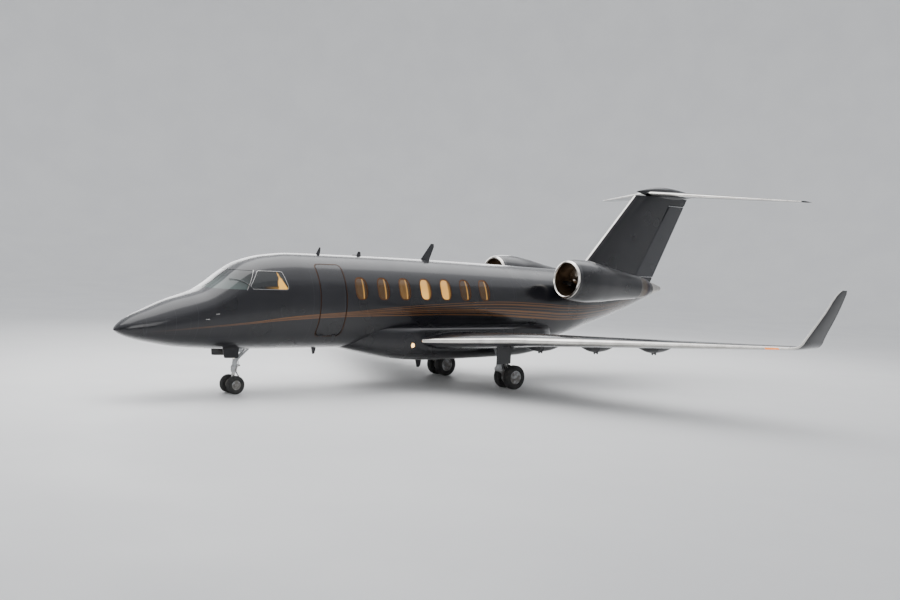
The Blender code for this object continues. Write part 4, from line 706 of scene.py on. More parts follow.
def livery_paint():
    """Black paint with copper lines that leave the nose as one and fan out towards the tail."""
    finish = glossy_paint("livery_paint")
    station = finish.x + HALF_LENGTH
    ends = COPPER_LINES[0][0], COPPER_LINES[-1][0]
    low, high = (station.curve([(row[0], row[i]) for row in COPPER_LINES], *ends) for i in (1, 2))
    share = (finish.z - low) / (high - low)
    fan = station.step(2.4, 8.0)
    copper = None
    for middle, width, gain, early in STRANDS:
        drift = finish.x * 0.42 + middle * 9.0
        wave = drift.math("SINE") * 0.025
        band = abs(share - middle - wave * fan)
        half = (1.0 - fan) * 0.09 + fan * (width / 2)
        mask = (half + 0.02 - band).step(0.0, 0.035) * (fan * (gain - early) + early)
        copper = mask if copper is None else copper.most(mask)
    copper = copper * station.step(0.4, 3.4) * station.step(11.0, 15.5, 1.0, 0.42)
    copper = copper * station.step(16.2, 17.6, 1.0, 0.0)
    cloud = finish.noise(1.3, 1.0)
    glint = finish.noise(420.0, 2.0)
    base = finish.mix(cloud.step(0.35, 0.8), BLACK, CLOUDED_BLACK)
    metal = finish.mix(glint, COPPER, BRIGHT_COPPER)
    finish.set("Base Color", finish.mix(copper, base, metal))
    finish.set("Metallic", copper * 0.85)
    finish.set("Roughness", cloud.step(0.3, 0.75, 0.26, 0.42) + copper * 0.06)
    return finish


def bare_metal(name, colour, roughness, scratch=(1.0, 1.0, 40.0)):
    """Worked metal: fine streaks along one direction and slow changes of tone."""
    finish = Finish(name, colour, roughness, 1.0)
    streak = finish.noise(28.0, 4.0, scratch)
    cloud = finish.noise(2.5, 3.0)
    finish.set("Roughness", streak.step(0.3, 0.7, roughness * 0.7, roughness * 1.35))
    finish.set("Base Color", finish.mix(cloud.step(0.35, 0.7), colour, tuple(c * 0.72 for c in colour)))
    finish.bump(streak, 0.0004, 0.2)
    return finish


def burnt_metal():
    """Nozzle metal that turns from grey through straw to blue-brown towards its hot end."""
    finish = Finish("burnt_metal", (0.36, 0.35, 0.34), 0.35, 1.0)
    cloud = finish.noise(6.0, 4.0)
    heat = (finish.x + cloud * 0.12).step(5.25, 5.85)
    straw = finish.mix(heat, (0.14, 0.137, 0.135), (0.13, 0.095, 0.062))
    finish.set("Base Color", finish.mix((heat - 0.6).step(0.0, 0.4), straw, (0.065, 0.06, 0.072)))
    finish.set("Roughness", cloud.step(0.3, 0.7, 0.24, 0.42))
    finish.bump(finish.noise(60.0, 3.0, (1.0, 8.0, 8.0)), 0.0005, 0.3)
    return finish


def lip_metal():
    """Inlet lips: polished at the front, with black paint behind outside and duct liner behind inside. Depth
    and radius are measured from each engine's own tilted axis."""
    finish = Finish("inlet_lip_metal", BRIGHT_METAL, 0.12, 1.0, **COAT)
    cosine, sine = math.cos(ENGINE_TILT), math.sin(ENGINE_TILT)
    back, up = finish.x + (HALF_LENGTH - INLET[0]), finish.z - INLET[2]
    out = abs(finish.y) - INLET[1]
    rise = back * sine + up * cosine
    bright = (back * cosine - up * sine).step(*LIP_SHINE, 1.0, 0.0)
    inner = (rise * rise + out * out).math("SQRT").step(0.500, 0.505, 1.0, 0.0)
    cloud = finish.noise(2.5, 3.0)
    behind = finish.mix(inner, BLACK, DUCT_TONE)
    front = finish.mix(cloud.step(0.35, 0.7), BRIGHT_METAL, (0.66, 0.62, 0.56))
    finish.set("Base Color", finish.mix(bright, behind, front))
    finish.set("Metallic", bright.most(inner))
    finish.set("Coat Weight", 1.0 - bright.most(inner))
    finish.set("Roughness", bright.step(0.0, 1.0, 0.32, 0.12) + cloud * 0.05)
    return finish


def gear_enamel():
    """Light grey enamel with oil mist and dust towards the wheels."""
    finish = Finish("gear_enamel", (0.42, 0.43, 0.44), 0.35, Coat_Weight=0.4, Coat_Roughness=0.15)
    cloud = finish.noise(9.0, 5.0)
    grime = (cloud + finish.z * -0.35 + 0.15).step(0.35, 0.62)
    finish.set("Base Color", finish.mix(grime, (0.45, 0.46, 0.47), (0.20, 0.19, 0.175)))
    finish.set("Roughness", grime * 0.3 + 0.3)
    finish.bump(finish.noise(130.0, 2.0), 0.0004, 0.2)
    return finish


def clouded(name, clouds, blotch, first, second, haze, gloss, grain=None):
    """A plain finish with a fine grain. The colour turns from the first to the second over one span of its
    clouds, and the roughness changes over another."""
    finish = Finish(name, first, gloss[0])
    cloud = finish.noise(*clouds)
    finish.set("Base Color", finish.mix(cloud.step(*blotch), first, second))
    finish.set("Roughness", cloud.step(*haze, *gloss))
    if grain:
        finish.bump(finish.noise(*grain[:2]), *grain[2:])
    return finish


def windscreen():
    """Dark grey-green heated glass, with painted light that makes it lighter towards its lower front corner.
    """
    finish = Finish("windscreen_tint_and_painted_light", (0.05, 0.07, 0.065), 0.04, Coat_Roughness=0.04, **PANE_COAT)
    cloud = finish.noise(1.6, 3.0)
    station = finish.x + HALF_LENGTH
    # Painted light: the glass is drawn lighter towards its lower front corner.
    light = (3.05 - finish.z + (2.75 - station) * 0.45 + cloud * 0.12).step(0.0, 0.55)
    finish.set("Base Color", finish.mix(light, (0.006, 0.008, 0.008), (0.055, 0.075, 0.070)))
    finish.set("Roughness", cloud.step(0.3, 0.7, 0.03, 0.07))
    return finish


def flight_deck_glow():
    """Side window glass with the amber light of the instruments painted on it as a glow in its lower rear
    corner:
    a flame that narrows upwards and fades forwards along the sill."""
    finish = Finish("side_window_glow", (0.05, 0.06, 0.055), 0.04, Coat_Roughness=0.04, **PANE_COAT)
    station = finish.x + HALF_LENGTH
    rise = finish.z - SIDE_WINDOW[0][1]
    cloud = finish.noise(5.0, 3.0)
    ragged = (cloud - 0.5) * 0.16
    # Painted light: the instruments' amber glow, given to the glass as colour and emission.
    flame = (0.16 - abs(station - 3.83 + rise * 0.20) - rise * 0.40 + ragged).step(-0.01, 0.05)
    sill = station.step(3.3, 3.8) * rise.step(0.02, 0.08, 0.22, 0.0)
    glow = flame.most(sill)
    finish.set("Base Color", finish.mix(glow, (0.012, 0.014, 0.014), (0.45, 0.24, 0.05)))
    finish.set("Emission Color", finish.mix(glow, (0.0, 0.0, 0.0), (1.0, 0.50, 0.05)))
    finish.set("Emission Strength", 1.0)
    return finish


def cabin_glow():
    """Cabin panes with the cabin's warm light painted on as a glow: two bright ones, the rest half shaded,
    each with a drawn blind's painted streak of light, painted shade at its sides and over its rear edge,
    dimmer at its top."""
    finish = Finish("cabin_pane_glow", (0.20, 0.13, 0.05), 0.06, Coat_Roughness=0.02, **PANE_COAT)
    station = finish.x + HALF_LENGTH
    pitch = WINDOWS[1] - WINDOWS[0]
    place = (station - WINDOWS[0]) / pitch + 0.5
    number = place.math("FLOOR")
    across = (place % 1.0 - 0.5) * pitch
    level = number.curve(list(enumerate(PANE_LEVELS)), 0, len(PANE_LEVELS) - 1)
    upright = (finish.z - WINDOW_HEIGHT) / (WINDOW_SIZE[1] / 2)
    # Painted shade: each pane dimmer at its sides, over its rear edge and towards its top.
    edge = (abs(across) / (WINDOW_SIZE[0] / 2)).step(0.72, 1.0, 1.0, 0.5)
    rear = across.step(0.05, 0.12, 1.0, 0.22)
    streak = across.line(0.065, 0.014, 0.022) * (1.0 - level) * 0.42
    shade = upright.step(-0.9, 0.6, 1.0, 0.78)
    cloud = finish.noise(3.0, 2.0).step(0.3, 0.7, 0.85, 1.0)
    light = (level * edge * rear + streak * edge) * shade * cloud
    # Painted light: the cabin's glow, given to the panes as colour and emission.
    finish.set("Base Color", finish.mix(light, (0.022, 0.011, 0.005), (0.26, 0.13, 0.035)))
    finish.set("Emission Color", finish.mix(light, (0.006, 0.003, 0.001), (1.0, 0.50, 0.09)))
    finish.set("Emission Strength", 1.35)
    return finish


def cloth(name, colour, weave=260.0):
    """Woven carpet or upholstery: crossed ribs and blotches of tone."""
    finish = Finish(name, colour, 0.9)
    cloud = finish.noise(5.0, 4.0)
    ribs = (finish.x * weave).math("SINE") * (finish.y * weave).math("SINE")
    finish.set("Base Color", finish.mix(cloud.step(0.3, 0.7), colour, tuple(c * 0.6 for c in colour)))
    finish.set("Roughness", cloud.step(0.2, 0.8, 0.8, 0.95))
    finish.bump(ribs + finish.noise(400.0, 2.0), 0.001, 0.4)
    return finish


def lamp_glass(name, colour, strength):
    """A lamp's lens: bright in the middle of its ripples."""
    finish = Finish(name, colour, 0.1, Coat_Weight=1.0)
    ripple = finish.noise(90.0, 2.0)
    dim = tuple(c * 0.6 for c in colour)
    finish.set("Emission Color", finish.mix(ripple.step(0.3, 0.7), dim, colour))
    finish.set("Emission Strength", strength)
    finish.bump(ripple, 0.001, 0.4)
    return finish


LIVERY = livery_paint()
PAINT = glossy_paint("gloss_black_paint")
GREY = glossy_paint("dark_grey_paint", (0.022, 0.022, 0.026), 0.05)
POLISHED = bare_metal("polished_skin", BRIGHT_METAL, 0.10)
STEEL = bare_metal("turned_steel", (0.60, 0.59, 0.57), 0.22)
CONE = bare_metal("tail_cone_metal", (0.50, 0.48, 0.45), 0.30)
DUCT_METAL = bare_metal("duct_liner", DUCT_TONE, 0.48, (8.0, 1.0, 1.0))
BURNT = burnt_metal()
FAN_METAL = bare_metal("fan_titanium", (0.42, 0.38, 0.33), 0.24)
ENAMEL = gear_enamel()
RUBBER = clouded("tyre_compound", (14.0, 5.0), (0.4, 0.75), (0.014, 0.014, 0.014), (0.045, 0.043, 0.040),
                 (0.2, 0.8), (0.62, 0.9), (300.0, 3.0, 0.0006, 0.5))
SCREEN = windscreen()
DECK = flight_deck_glow()
PANES = cabin_glow()
LIP_METAL = lip_metal()
CARPET = cloth("cabin_carpet", (0.16, 0.09, 0.045))
LINING = cloth("cabin_lining", (0.52, 0.44, 0.33), 90.0)
LEATHER = clouded("seat_leather", (7.0, 4.0), (0.3, 0.7), (0.34, 0.23, 0.14), (0.24, 0.155, 0.09),
                  (0.3, 0.7), (0.38, 0.55), (240.0, 2.0, 0.0008, 0.5))
TREAD = clouded("step_tread", (11.0, 5.0), (0.4, 0.75), (0.045, 0.045, 0.047), (0.11, 0.105, 0.10),
                (0.2, 0.8), (0.5, 0.8), (350.0, 2.0, 0.0006, 0.4))
SHIELD_VINYL = cloth("shield_vinyl", (0.025, 0.025, 0.027), 500.0)
BRONZE = bare_metal("bronze_trim", (0.13, 0.062, 0.032), 0.38)
DARK_BRONZE = bare_metal("dark_bronze_trim", (0.060, 0.028, 0.015), 0.42)
CEILING = lamp_glass("ceiling_lens", (1.0, 0.80, 0.56), 14.0)
AMBER = lamp_glass("amber_lens", (1.0, 0.60, 0.20), 5.0)
ORANGE = lamp_glass("orange_lens", (1.0, 0.24, 0.02), 1.1)
CLEAR = lamp_glass("clear_lens", (1.0, 0.93, 0.80), 1.2)


# Fuselage

SPACING = (0.075, math.radians(3.75))
COARSE = (0.15, math.radians(7.5))


def hull_rect(start, end):
    """Outline of a whole band of the fuselage in (station, angle), with points along its edges."""
    around = np.linspace(-math.pi, math.pi, 97)
    along = np.linspace(start, end, max(3, int((end - start) / 0.14)))
    sides = [(np.full(97, start), around), (along, np.full(len(along), math.pi)),
             (np.full(97, end), around[::-1]), (along[::-1], np.full(len(along), -math.pi))]
    return np.concatenate([np.stack(side, -1)[:-1] for side in sides])


def window_loop(station, margin=0.0, count=44):
    """An upright oval with full shoulders, as (station, height)."""
    angle = (np.arange(count) + 0.5) / count * TURN
    across, up = (signed_power(wave, WINDOW_FULLNESS) for wave in (np.cos(angle), np.sin(angle)))
    return np.stack([station + (WINDOW_SIZE[0] / 2 - margin) * across,
                     WINDOW_HEIGHT + (WINDOW_SIZE[1] / 2 - margin) * up], -1)


def door_loop(margin=0.0, foot=DOOR_CORNER, notch=None):
    """The outline of door or doorway, as (station, height). Its edges rise as they come outwards, so its
    height follows the skin's breadth. A notch is a hinge's half-width and the level that it reaches."""
    front, rear, sill, head = DOOR[0] + margin, DOOR[1] - margin, DOOR[2] + margin, DOOR[3] - margin
    sill_line, radii = [(front, sill)], [foot - margin]
    if notch:
        half, level = notch
        for place in DOOR_HINGES:
            sill_line += [(place - half, sill), (place - half, level),
                          (place + half, level), (place + half, sill)]
            radii += [0.003] * 4
    radii += [foot - margin, DOOR_CORNER - margin, DOOR_CORNER - margin]
    loop = fine(rounded(sill_line + corners(front, rear, sill, head)[1:], radii), 0.045)
    height = loop[:, 1].copy()
    for _ in range(6):
        out = np.abs(hull(loop[:, 0], hull_angle(loop[:, 0], height))[:, 1])
        height = loop[:, 1] + DOOR_RAKE * (out - HINGE_Y)
    return np.stack([loop[:, 0], height], -1)


def side_window_loop(margin=0.0):
    """The flight deck's side window, as (station, height)."""
    return shrunk(resample(rounded(SIDE_WINDOW, 0.05), 70), margin)


def front_pane_loop(side, margin=0.0):
    """The front pane as (station, angle): beside the centre post, over the sill and ahead of a raked edge."""
    post, sill, head, foot, rake = FRONT_PANE
    heights = np.linspace(sill + margin, head - margin, 24)
    rear = foot + (heights - sill) / (head - sill) * rake - margin
    post, sill, head = post + margin, sill + margin, head - margin
    edge = np.stack([rear, hull_angle(rear, heights)], -1)
    dense = np.linspace(2.0, 3.2, 400)
    post_angle = np.arcsin(np.clip((post / breadth(dense)), 0, 1) ** (fullness(dense) / 2))
    post_height = hull(dense, post_angle)[:, 2]
    first, last = np.interp([sill, head], post_height, dense)
    along = np.linspace(last, first, 24)
    post_edge = np.stack([along, np.interp(along, dense, post_angle)], -1)
    top = np.linspace(rear[-1], last, 14)[1:-1]
    top_edge = np.stack([top, hull_angle(top, head)], -1)
    low = first + (rear[0] - first) * np.linspace(0, 1, 36)[1:-1] ** 1.6
    low_edge = np.stack([low, hull_angle(low, sill)], -1)
    return np.concatenate([edge, top_edge, post_edge, low_edge]) * [1, side]


def sunk(inset):
    """The fuselage skin moved inwards along its normals."""
    return lambda s, a: hull(s, a) - outward(hull, s, a) * inset


def make_fuselage():
    """The outer skin, one band for each body, with its openings' edges turned in. The radome's rings close
    on the nose tip and are spaced as squares of even steps."""
    stations = RADOME_END * np.linspace(0, 1, 34) ** 2
    stations[0] = 1e-4
    angle = np.linspace(0, TURN, 97)[:-1]
    points = hull(stations[:, None], angle[None]).reshape(-1, 3)
    normals = outward(hull, *np.broadcast_arrays(stations[:, None] + 3e-4, angle[None])).reshape(-1, 3)
    quads = orient(quads_between(34, 96, closed=True), points, normals)
    fan = np.stack([np.full(96, len(points)), (np.arange(96) + 1) % 96, np.arange(96)], -1)
    radome = Skin().add(np.concatenate([points, [[-HALF_LENGTH, 0, NOSE_TIP]]]), [*quads, *fan],
                        np.concatenate([normals, [[-1.0, 0, 0]]]))
    radome.make("radome_skin", PAINT, "airframe", "black_paint", "radome")

    nose = trimmed(Skin(), hull, hull_rect(*BANDS["nose"]), [], SPACING)
    nose.make("nose_skin", LIVERY, "airframe", "black_paint", "nose")

    panes = [pane for side in SIDES.values()
             for pane in (to_hull(side_window_loop(), side), front_pane_loop(side))]
    cockpit = trimmed(Skin(), hull, hull_rect(*BANDS["cockpit"]), panes, SPACING)
    for pane in panes:
        reveal(cockpit, hull, pane, 0.0, PANE_REVEAL)
    cockpit.make("cockpit_skin", LIVERY, "airframe", "black_paint", "cockpit_shell")

    doorway = to_hull(door_loop(notch=(DOOR_BARREL[0] + PLAY, DOOR[2] - DOOR_BARREL[1] - PLAY)), -1)
    windows = [to_hull(window_loop(place), side) for side in SIDES.values() for place in WINDOWS]
    cabin = trimmed(Skin(), hull, hull_rect(*BANDS["cabin"]), [doorway, *windows], SPACING)
    reveal(cabin, hull, doorway, 0.0, WALL)
    for window in windows:
        reveal(cabin, hull, window, 0.0, PANE_REVEAL)
    cabin.make("cabin_skin", LIVERY, "airframe", "black_paint", "cabin_shell")

    aft = trimmed(Skin(), hull, hull_rect(*BANDS["aft"]), [], SPACING)
    aft.make("aft_skin", LIVERY, "airframe", "black_paint", "aft_body")

    cone = Skin().loft(hull(np.linspace(*BANDS["cone"], 16)[:, None], angle[None]))
    *ends, level = CONE_TIP
    bar(cone, [(end - HALF_LENGTH, 0, level) for end in ends], [0.075, 0.035], 32)
    cone.make("tail_cone_skin", CONE, "airframe", "engine_metal", "tail_cone")

    lining = trimmed(Skin(), lambda s, a: hull(s, a, WALL), hull_rect(BANDS["cabin"][0], LINING_END),
                     [to_hull(door_loop(-0.01), -1)], (0.3, COARSE[1]), flip=True)
    lining.make("cabin_wall_lining", LINING, "airframe", "cabin_trim")


def make_door():
    """The airstair door: painted outside, lined inside, with four steps between two rails and with two
    hinges at the sill. The treads lie level when the door hangs fully open."""
    notch = (DOOR_CHEEKS[1] + PLAY, DOOR[2] + DOOR_CHEEKS[2] + PLAY)
    loop = to_hull(door_loop(PLAY, DOOR_FOOT_CORNER, notch), -1)
    skin = trimmed(Skin(), hull, loop, [], SPACING)
    reveal(skin, hull, loop, 0.0, WALL, -1.0)
    skin.make("cabin_door_skin", LIVERY, "cabin_door", "black_paint", "cabin_door")
    inner = trimmed(Skin(), sunk(WALL), loop, [], COARSE, flip=True)
    inner.make("cabin_door_lining", LINING, "cabin_door", "cabin_trim")

    ends = DOOR[0] + STEP_MARGIN - HALF_LENGTH, DOOR[1] - STEP_MARGIN - HALF_LENGTH
    out = np.array([0.0, math.cos(STEP_TILT), math.sin(STEP_TILT)])
    thick = np.array([0.0, -out[2], out[1]])
    feet = np.array([[0.0, -wall_side(DOOR[0], height) - 0.01, height] for height in STEPS])
    treads = Skin()
    for foot in feet:
        rings = []
        for x, trim in ((ends[0], 0.004), (ends[0] + 0.004, 0.0), (ends[1] - 0.004, 0.0), (ends[1], 0.004)):
            board = tread_section(trim)
            rings.append(foot + [x, 0, 0] + board[:, :1] * out + board[:, 1:] * thick)
        treads.loft(rings)
    treads.make("cabin_door_steps", TREAD, "cabin_door", "cabin_trim", sharp=30.0)

    rails = Skin()
    level = np.linspace(STEPS[0] - 0.05, STEPS[-1] + 0.22, 15)
    for x in ends:
        wall = -wall_side(x + HALF_LENGTH, level) + 0.024
        bar(rails, np.stack([np.full(15, x), wall, level], -1), 0.010, 16)
        tips = feet + [x, 0, 0] + (STEP_DEPTH - 0.012) * out + STEP_THICKNESS / 2 * thick
        bar(rails, np.concatenate([tips[:1] - 0.012 * out, tips, tips[-1:] + 0.012 * out]), 0.009, 16)
    rails.make("cabin_door_rails", POLISHED, "cabin_door", "bright_metal")

    barrels, cheeks = Skin(), Skin()
    half, radius = DOOR_BARREL
    near, far, wide = DOOR_CHEEKS
    for place in DOOR_HINGES:
        middle = np.array([place - HALF_LENGTH, -HINGE_Y, DOOR[2]])
        spun(barrels, [(-half, DOOR_PIN + 0.0004), (-half, radius - 0.001), (0.001 - half, radius),
                       (half - 0.001, radius), (half, radius - 0.001), (half, DOOR_PIN + 0.0004)],
             middle, (1, 0, 0), 32, True)
        tongue = [(0.0, 0.010), (0.004, 0.046), (0.026, 0.046), (0.026, 0.010)]
        barrels.loft([[middle + [x, inward, up] for inward, up in tongue] for x in (-half, half)])
        for sign in (-1, 1):
            spun(cheeks, [(sign * near, DOOR_PIN), (sign * near, wide - 0.002), (sign * (near + 0.002), wide),
                          (sign * (far - 0.002), wide), (sign * far, wide - 0.002), (sign * far, 0.0)],
                 middle, (1, 0, 0), 32)
        spun(cheeks, [(-near, DOOR_PIN), (near, DOOR_PIN)], middle, (1, 0, 0), 24)
    barrels.make("door_hinge_barrels", GREY, "cabin_door", "gear_metal")
    cheeks.make("door_hinge_cheeks", GREY, "airframe", "gear_metal")


def wall_side(station, height):
    """Half-width inside the lined wall, below the waist, where the section is an ellipse."""
    share = (waist(station) - height) / (waist(station) - keel(station) - WALL)
    upper = (height - waist(station)) / (crown(station) - waist(station) - WALL)
    share = np.where(share > 0, share, upper)
    return (breadth(station) - WALL) * np.sqrt(1 - np.minimum(np.abs(share), 1) ** 2)


def tread_section(trim=0.0):
    """A tread's section as (along, down): a board with a round nose, and grooves across its walking face."""
    board = rounded([(0.0, STEP_THICKNESS), (0.0, 0.0), (STEP_DEPTH, 0.0), (STEP_DEPTH, STEP_THICKNESS)],
                    (0.003, 0.003, 0.010, 0.010))
    along = np.linspace(0.03, STEP_DEPTH - 0.03, 61)
    groove = 0.0022 * (np.sin(along / 0.018 * TURN) > 0)
    board = np.concatenate([board[:18], np.stack([along, groove], -1), board[18:]])
    return shrunk_board(board, trim)


def shrunk_board(board, trim):
    """The section drawn in towards its middle by a trim at every edge."""
    middle = np.array([STEP_DEPTH / 2, STEP_THICKNESS / 2])
    size = np.array([STEP_DEPTH, STEP_THICKNESS])
    return middle + (board - middle) * (1 - 2 * trim / size)


def make_cabin():
    """The floor with its doorway, the glare shield over the instruments, and the pilots' seats."""
    front, rear, low, top = FLOOR
    door_front, door_rear, door_edge = DOORWAY
    places = np.concatenate([np.linspace(front, door_front, 30), np.linspace(door_front, door_rear, 8),
                             np.linspace(door_rear, rear, 40)])
    edge = np.full(len(places), 9.0)
    edge[30:38] = door_edge
    levels = np.array([low, top, top, low])
    reach = wall_side(places[:, None], levels[None])
    across = np.array([-1, -1, 1, 1]) * reach
    across = np.maximum(across, -edge[:, None])
    rings = np.stack([np.broadcast_to(places[:, None] - HALF_LENGTH, across.shape), across,
                      np.broadcast_to(levels, across.shape)], -1)
    Skin().loft(rings).make("cabin_carpet", CARPET, "airframe", "cabin_trim", "cabin_floor")

    front, rear, half, head = SHIELD
    rings = []
    for station, shrink in ((front, 0.90), (front + 0.02, 0.93), (rear - 0.12, 0.98), (rear - 0.02, 1.0),
                            (rear, 0.98)):
        reach = min(half, float(wall_side(station, 2.0))) * shrink
        roof = min(head, float(crown(station)) - 0.14) - (1 - shrink) * 0.3
        foot, edge = low + 0.02, reach * 0.94
        outline = rounded([(-reach, foot), (reach, foot), (edge, roof), (-edge, roof)],
                          (0.02, 0.02, 0.16, 0.16))
        rings.append(np.column_stack([np.full(len(outline), station - HALF_LENGTH), outline]))
    Skin().loft(rings).make("glare_shield", SHIELD_VINYL, "airframe", "cabin_trim")

    front, rear, radius = CEILING_LIGHT
    places = np.linspace(front, rear, 24)
    path = np.stack([places - HALF_LENGTH, 0 * places, crown(places) - WALL - 0.012], -1)
    bar(Skin(), path, radius, 16).make("cabin_ceiling_light", CEILING, "airframe", "cabin_trim")

    front, rear, half, shoulder, head = PEDESTAL
    for label, side in SIDES.items():
        middle = np.array([0.0, side * SEAT_SIDE, 0.0])
        pads = Skin()
        for low_corner, high_corner in SEAT_PADS:
            pad(pads, middle + low_corner, middle + high_corner)
        item = pads.make("pilot_seat_pads_" + label, LEATHER, "airframe", "cabin_trim")
        rings = []
        for inset, height in ((0.0, top), (0.05, top + 0.03), (0.05, shoulder), (0.0, head)):
            edges = corners(front + inset, rear - inset, inset - half, half - inset)
            rings.append(laid(rounded(edges, 0.03), 0.0, height) + middle)
        Skin().loft(rings).make("pilot_seat_base_" + label, GREY, "airframe", "cabin_trim")


def pad(skin, low, high, count=40):
    """A crowned pad between two corners: a superellipsoid of exponent 0.35, whose radius dips along
    the seam round its middle."""
    low, high = np.array(low) - [HALF_LENGTH, 0, 0], np.array(high) - [HALF_LENGTH, 0, 0]
    centre, half = (low + high) / 2, (high - low) / 2
    thin = int(np.argmin(half))
    others = [i for i in range(3) if i != thin]
    lift = np.linspace(-math.pi / 2, math.pi / 2, count // 2 + 1)[:, None]
    turn = (np.arange(count) / count * TURN)[None]
    bulge = 1 - 0.05 * np.exp(-(lift / 0.10) ** 2)
    points = np.empty((count // 2 + 1, count, 3))
    points[..., thin] = signed_power(np.sin(lift), 0.7) * half[thin] + 0 * turn
    for axis, wave in zip(others, (np.cos(turn), np.sin(turn))):
        points[..., axis] = signed_power(np.cos(lift), 0.35) * signed_power(wave, 0.35) * half[axis] * bulge
    return skin.grid(points + centre, closed=True)


def make_glass():
    """Windscreen, side windows and cabin panes, each a patch of skin sunk into its opening, and the cabin
    windows' frames."""
    fine_spacing = (0.05, math.radians(2.5))
    pane_spacing = (0.07, math.radians(3))
    for label, side in SIDES.items():
        skin = trimmed(Skin(), sunk(0.006), front_pane_loop(side, PANE_PLAY), [], pane_spacing)
        skin.make("windscreen_" + label, SCREEN, "airframe", "windscreen_glass", "cockpit_glass_" + label)
        skin = trimmed(Skin(), sunk(0.006), to_hull(side_window_loop(PANE_PLAY), side), [], pane_spacing)
        skin.make("flight_deck_window_" + label, DECK, "airframe", "windscreen_glass")
        panes, frames = Skin(), Skin()
        for place in WINDOWS:
            pane, ring = (to_hull(window_loop(place, margin), side) for margin in (PANE_PLAY, 0.030))
            trimmed(panes, sunk(0.012), pane, [], fine_spacing)
            trimmed(frames, sunk(0.004), pane, [ring], fine_spacing)
            reveal(frames, sunk(0.004), ring, 0.0, 0.012)
        panes.make("cabin_panes_" + label, PANES, "airframe", "cabin_glass", "cabin_glass_" + label)
        frames.make("window_frames_" + label, BRONZE, "airframe", "black_paint")


# Wing, tail and their moving surfaces

def surface_rings(table, camber, incidence, side, places, ends=None):
    """Rings of a lifting surface's section at several places, cut off at given chord shares."""
    rings = []
    for place, end in zip(places, ends or [1.0] * len(places)):
        lead, height, chord, thickness = at_place(table, place)
        loop = section(chord, thickness, camber, 0.0, end)
        rings.append(stood(loop, lead, side * place, height, incidence))
    return rings


def front_radius(table, share, place):
    """Radius of an aileron's or elevator's round front, which fills the section at its hinge line."""
    _, _, chord, thickness = at_place(table, place)
    return float(foil(share, thickness)) * chord


def make_wing(label, side):
    """The wing from root to tip in four lengths, cut back behind where a flap or aileron follows, with the
    front halves of the flap's tracks and a jack pad."""
    inner = [WING[0][0], 2.3, 3.6, 5.0, FLAP_SPAN[1] + END_PLAY]
    cove = [front_share(p, FLAP_SPAN, FLAP_FRONT) - PLAY / at_place(WING, p)[2] for p in inner]
    rib = [FLAP_SPAN[1] + END_PLAY, AILERON_SPAN[0] - END_PLAY]
    outer = [AILERON_SPAN[0] - END_PLAY, AILERON_SPAN[1] + END_PLAY]
    gap = PLAY + front_radius(WING, AILERON_FRONT, AILERON_SPAN[0])
    slot = [front_share(p, AILERON_SPAN, AILERON_FRONT) - gap / at_place(WING, p)[2] for p in outer]
    tip = [AILERON_SPAN[1] + END_PLAY, WING[2][0]]
    skin = Skin()
    for places, ends in ((inner, cove), (rib, None), (outer, slot), (tip, None)):
        skin.loft(surface_rings(WING, CAMBER, INCIDENCE, side, places, ends))
    for place in TRACKS:
        track_half(skin, side, place, FRONT_TRACK, -1)
    make_hinge_cheeks(skin, side)
    place, share, foot = JACK_PAD
    x, y, z = wing_line(place, share, -1)
    bar(skin, [(x, side * y, z + 0.05), (x, side * y, foot)], 0.05, 32)
    skin.make("wing_skin_" + label, PAINT, "airframe", "black_paint", "wing_" + label)
    make_leading_edge(label, side)


def make_leading_edge(label, side):
    """Polished bare nose of the wing, a hair proud of the paint behind it, narrow at the root. Chord shares
    are signed squares of even steps, from below to above."""
    signed = np.linspace(-1, 1, 31)
    rows = []
    for place in np.concatenate([np.linspace(1.272, 3.6, 9), np.linspace(4.0, 9.598, 12)]):
        lead, height, chord, thickness = at_place(WING, place)
        share = float(np.interp(place, *zip(*SHINE))) * np.abs(signed) * signed
        s = np.abs(share)
        x = s * chord - WING_PROUD * (1 - signed ** 2)
        z = np.sign(share) * (foil(s, thickness) * chord + WING_PROUD) + CAMBER * chord * 4 * s * (1 - s)
        z[len(z) // 2] = 0.0
        rows.append(stood(np.stack([x, z], -1), lead, side * place, height, INCIDENCE))
    Skin().grid(np.array(rows)).make("wing_nose_" + label, POLISHED, "airframe", "bright_metal")


def flap_hinge(side, place):
    """A point of the flap's hinge line, which runs straight under the wing from first to last track."""
    ends = []
    for track in (TRACKS[0], TRACKS[-1]):
        x, _, z = wing_line(track, front_share(track, FLAP_SPAN, FLAP_FRONT), -1)
        ends.append(np.array([x, side * track, z - TRACK_DEPTH]))
    t = (place - TRACKS[0]) / (TRACKS[-1] - TRACKS[0])
    return ends[0] * (1 - t) + ends[1] * t


def track_half(skin, side, place, sizes, direction):
    """Half of a flap track fairing, ahead of the hinge line (-1) or behind it (1): round-bottomed sections
    that shrink with the distance."""
    x, _, low = wing_line(place, front_share(place, FLAP_SPAN, FLAP_FRONT), -1)
    top = low + 0.03
    depth = top - flap_hinge(side, place)[2] - 0.006
    first, last = (wing_line(p, FLAP_FRONT) for p in FLAP_SPAN)
    sweep = (last[0] - first[0]) / (FLAP_SPAN[1] - FLAP_SPAN[0])
    sizes = sorted(sizes)
    angle = np.linspace(0, math.pi, 17)
    across = np.concatenate([[1.0], np.cos(angle), [-1.0]])
    down = np.concatenate([[0.0], 0.35 + 0.65 * np.sin(angle), [0.0]])
    rings = []
    for back in np.linspace(sizes[0][0], sizes[-1][0], 12):
        size = float(line(sizes)(back))
        wide = across * 0.11 * (0.25 + 0.75 * size)
        level = top + (0.05 if direction < 0 else 0.02) * back
        deep = depth * size + (level - top)
        rings.append(np.stack([x + direction * back + sweep * wide, side * (place + wide),
                               level - deep * down], -1))
    return skin.loft(rings)


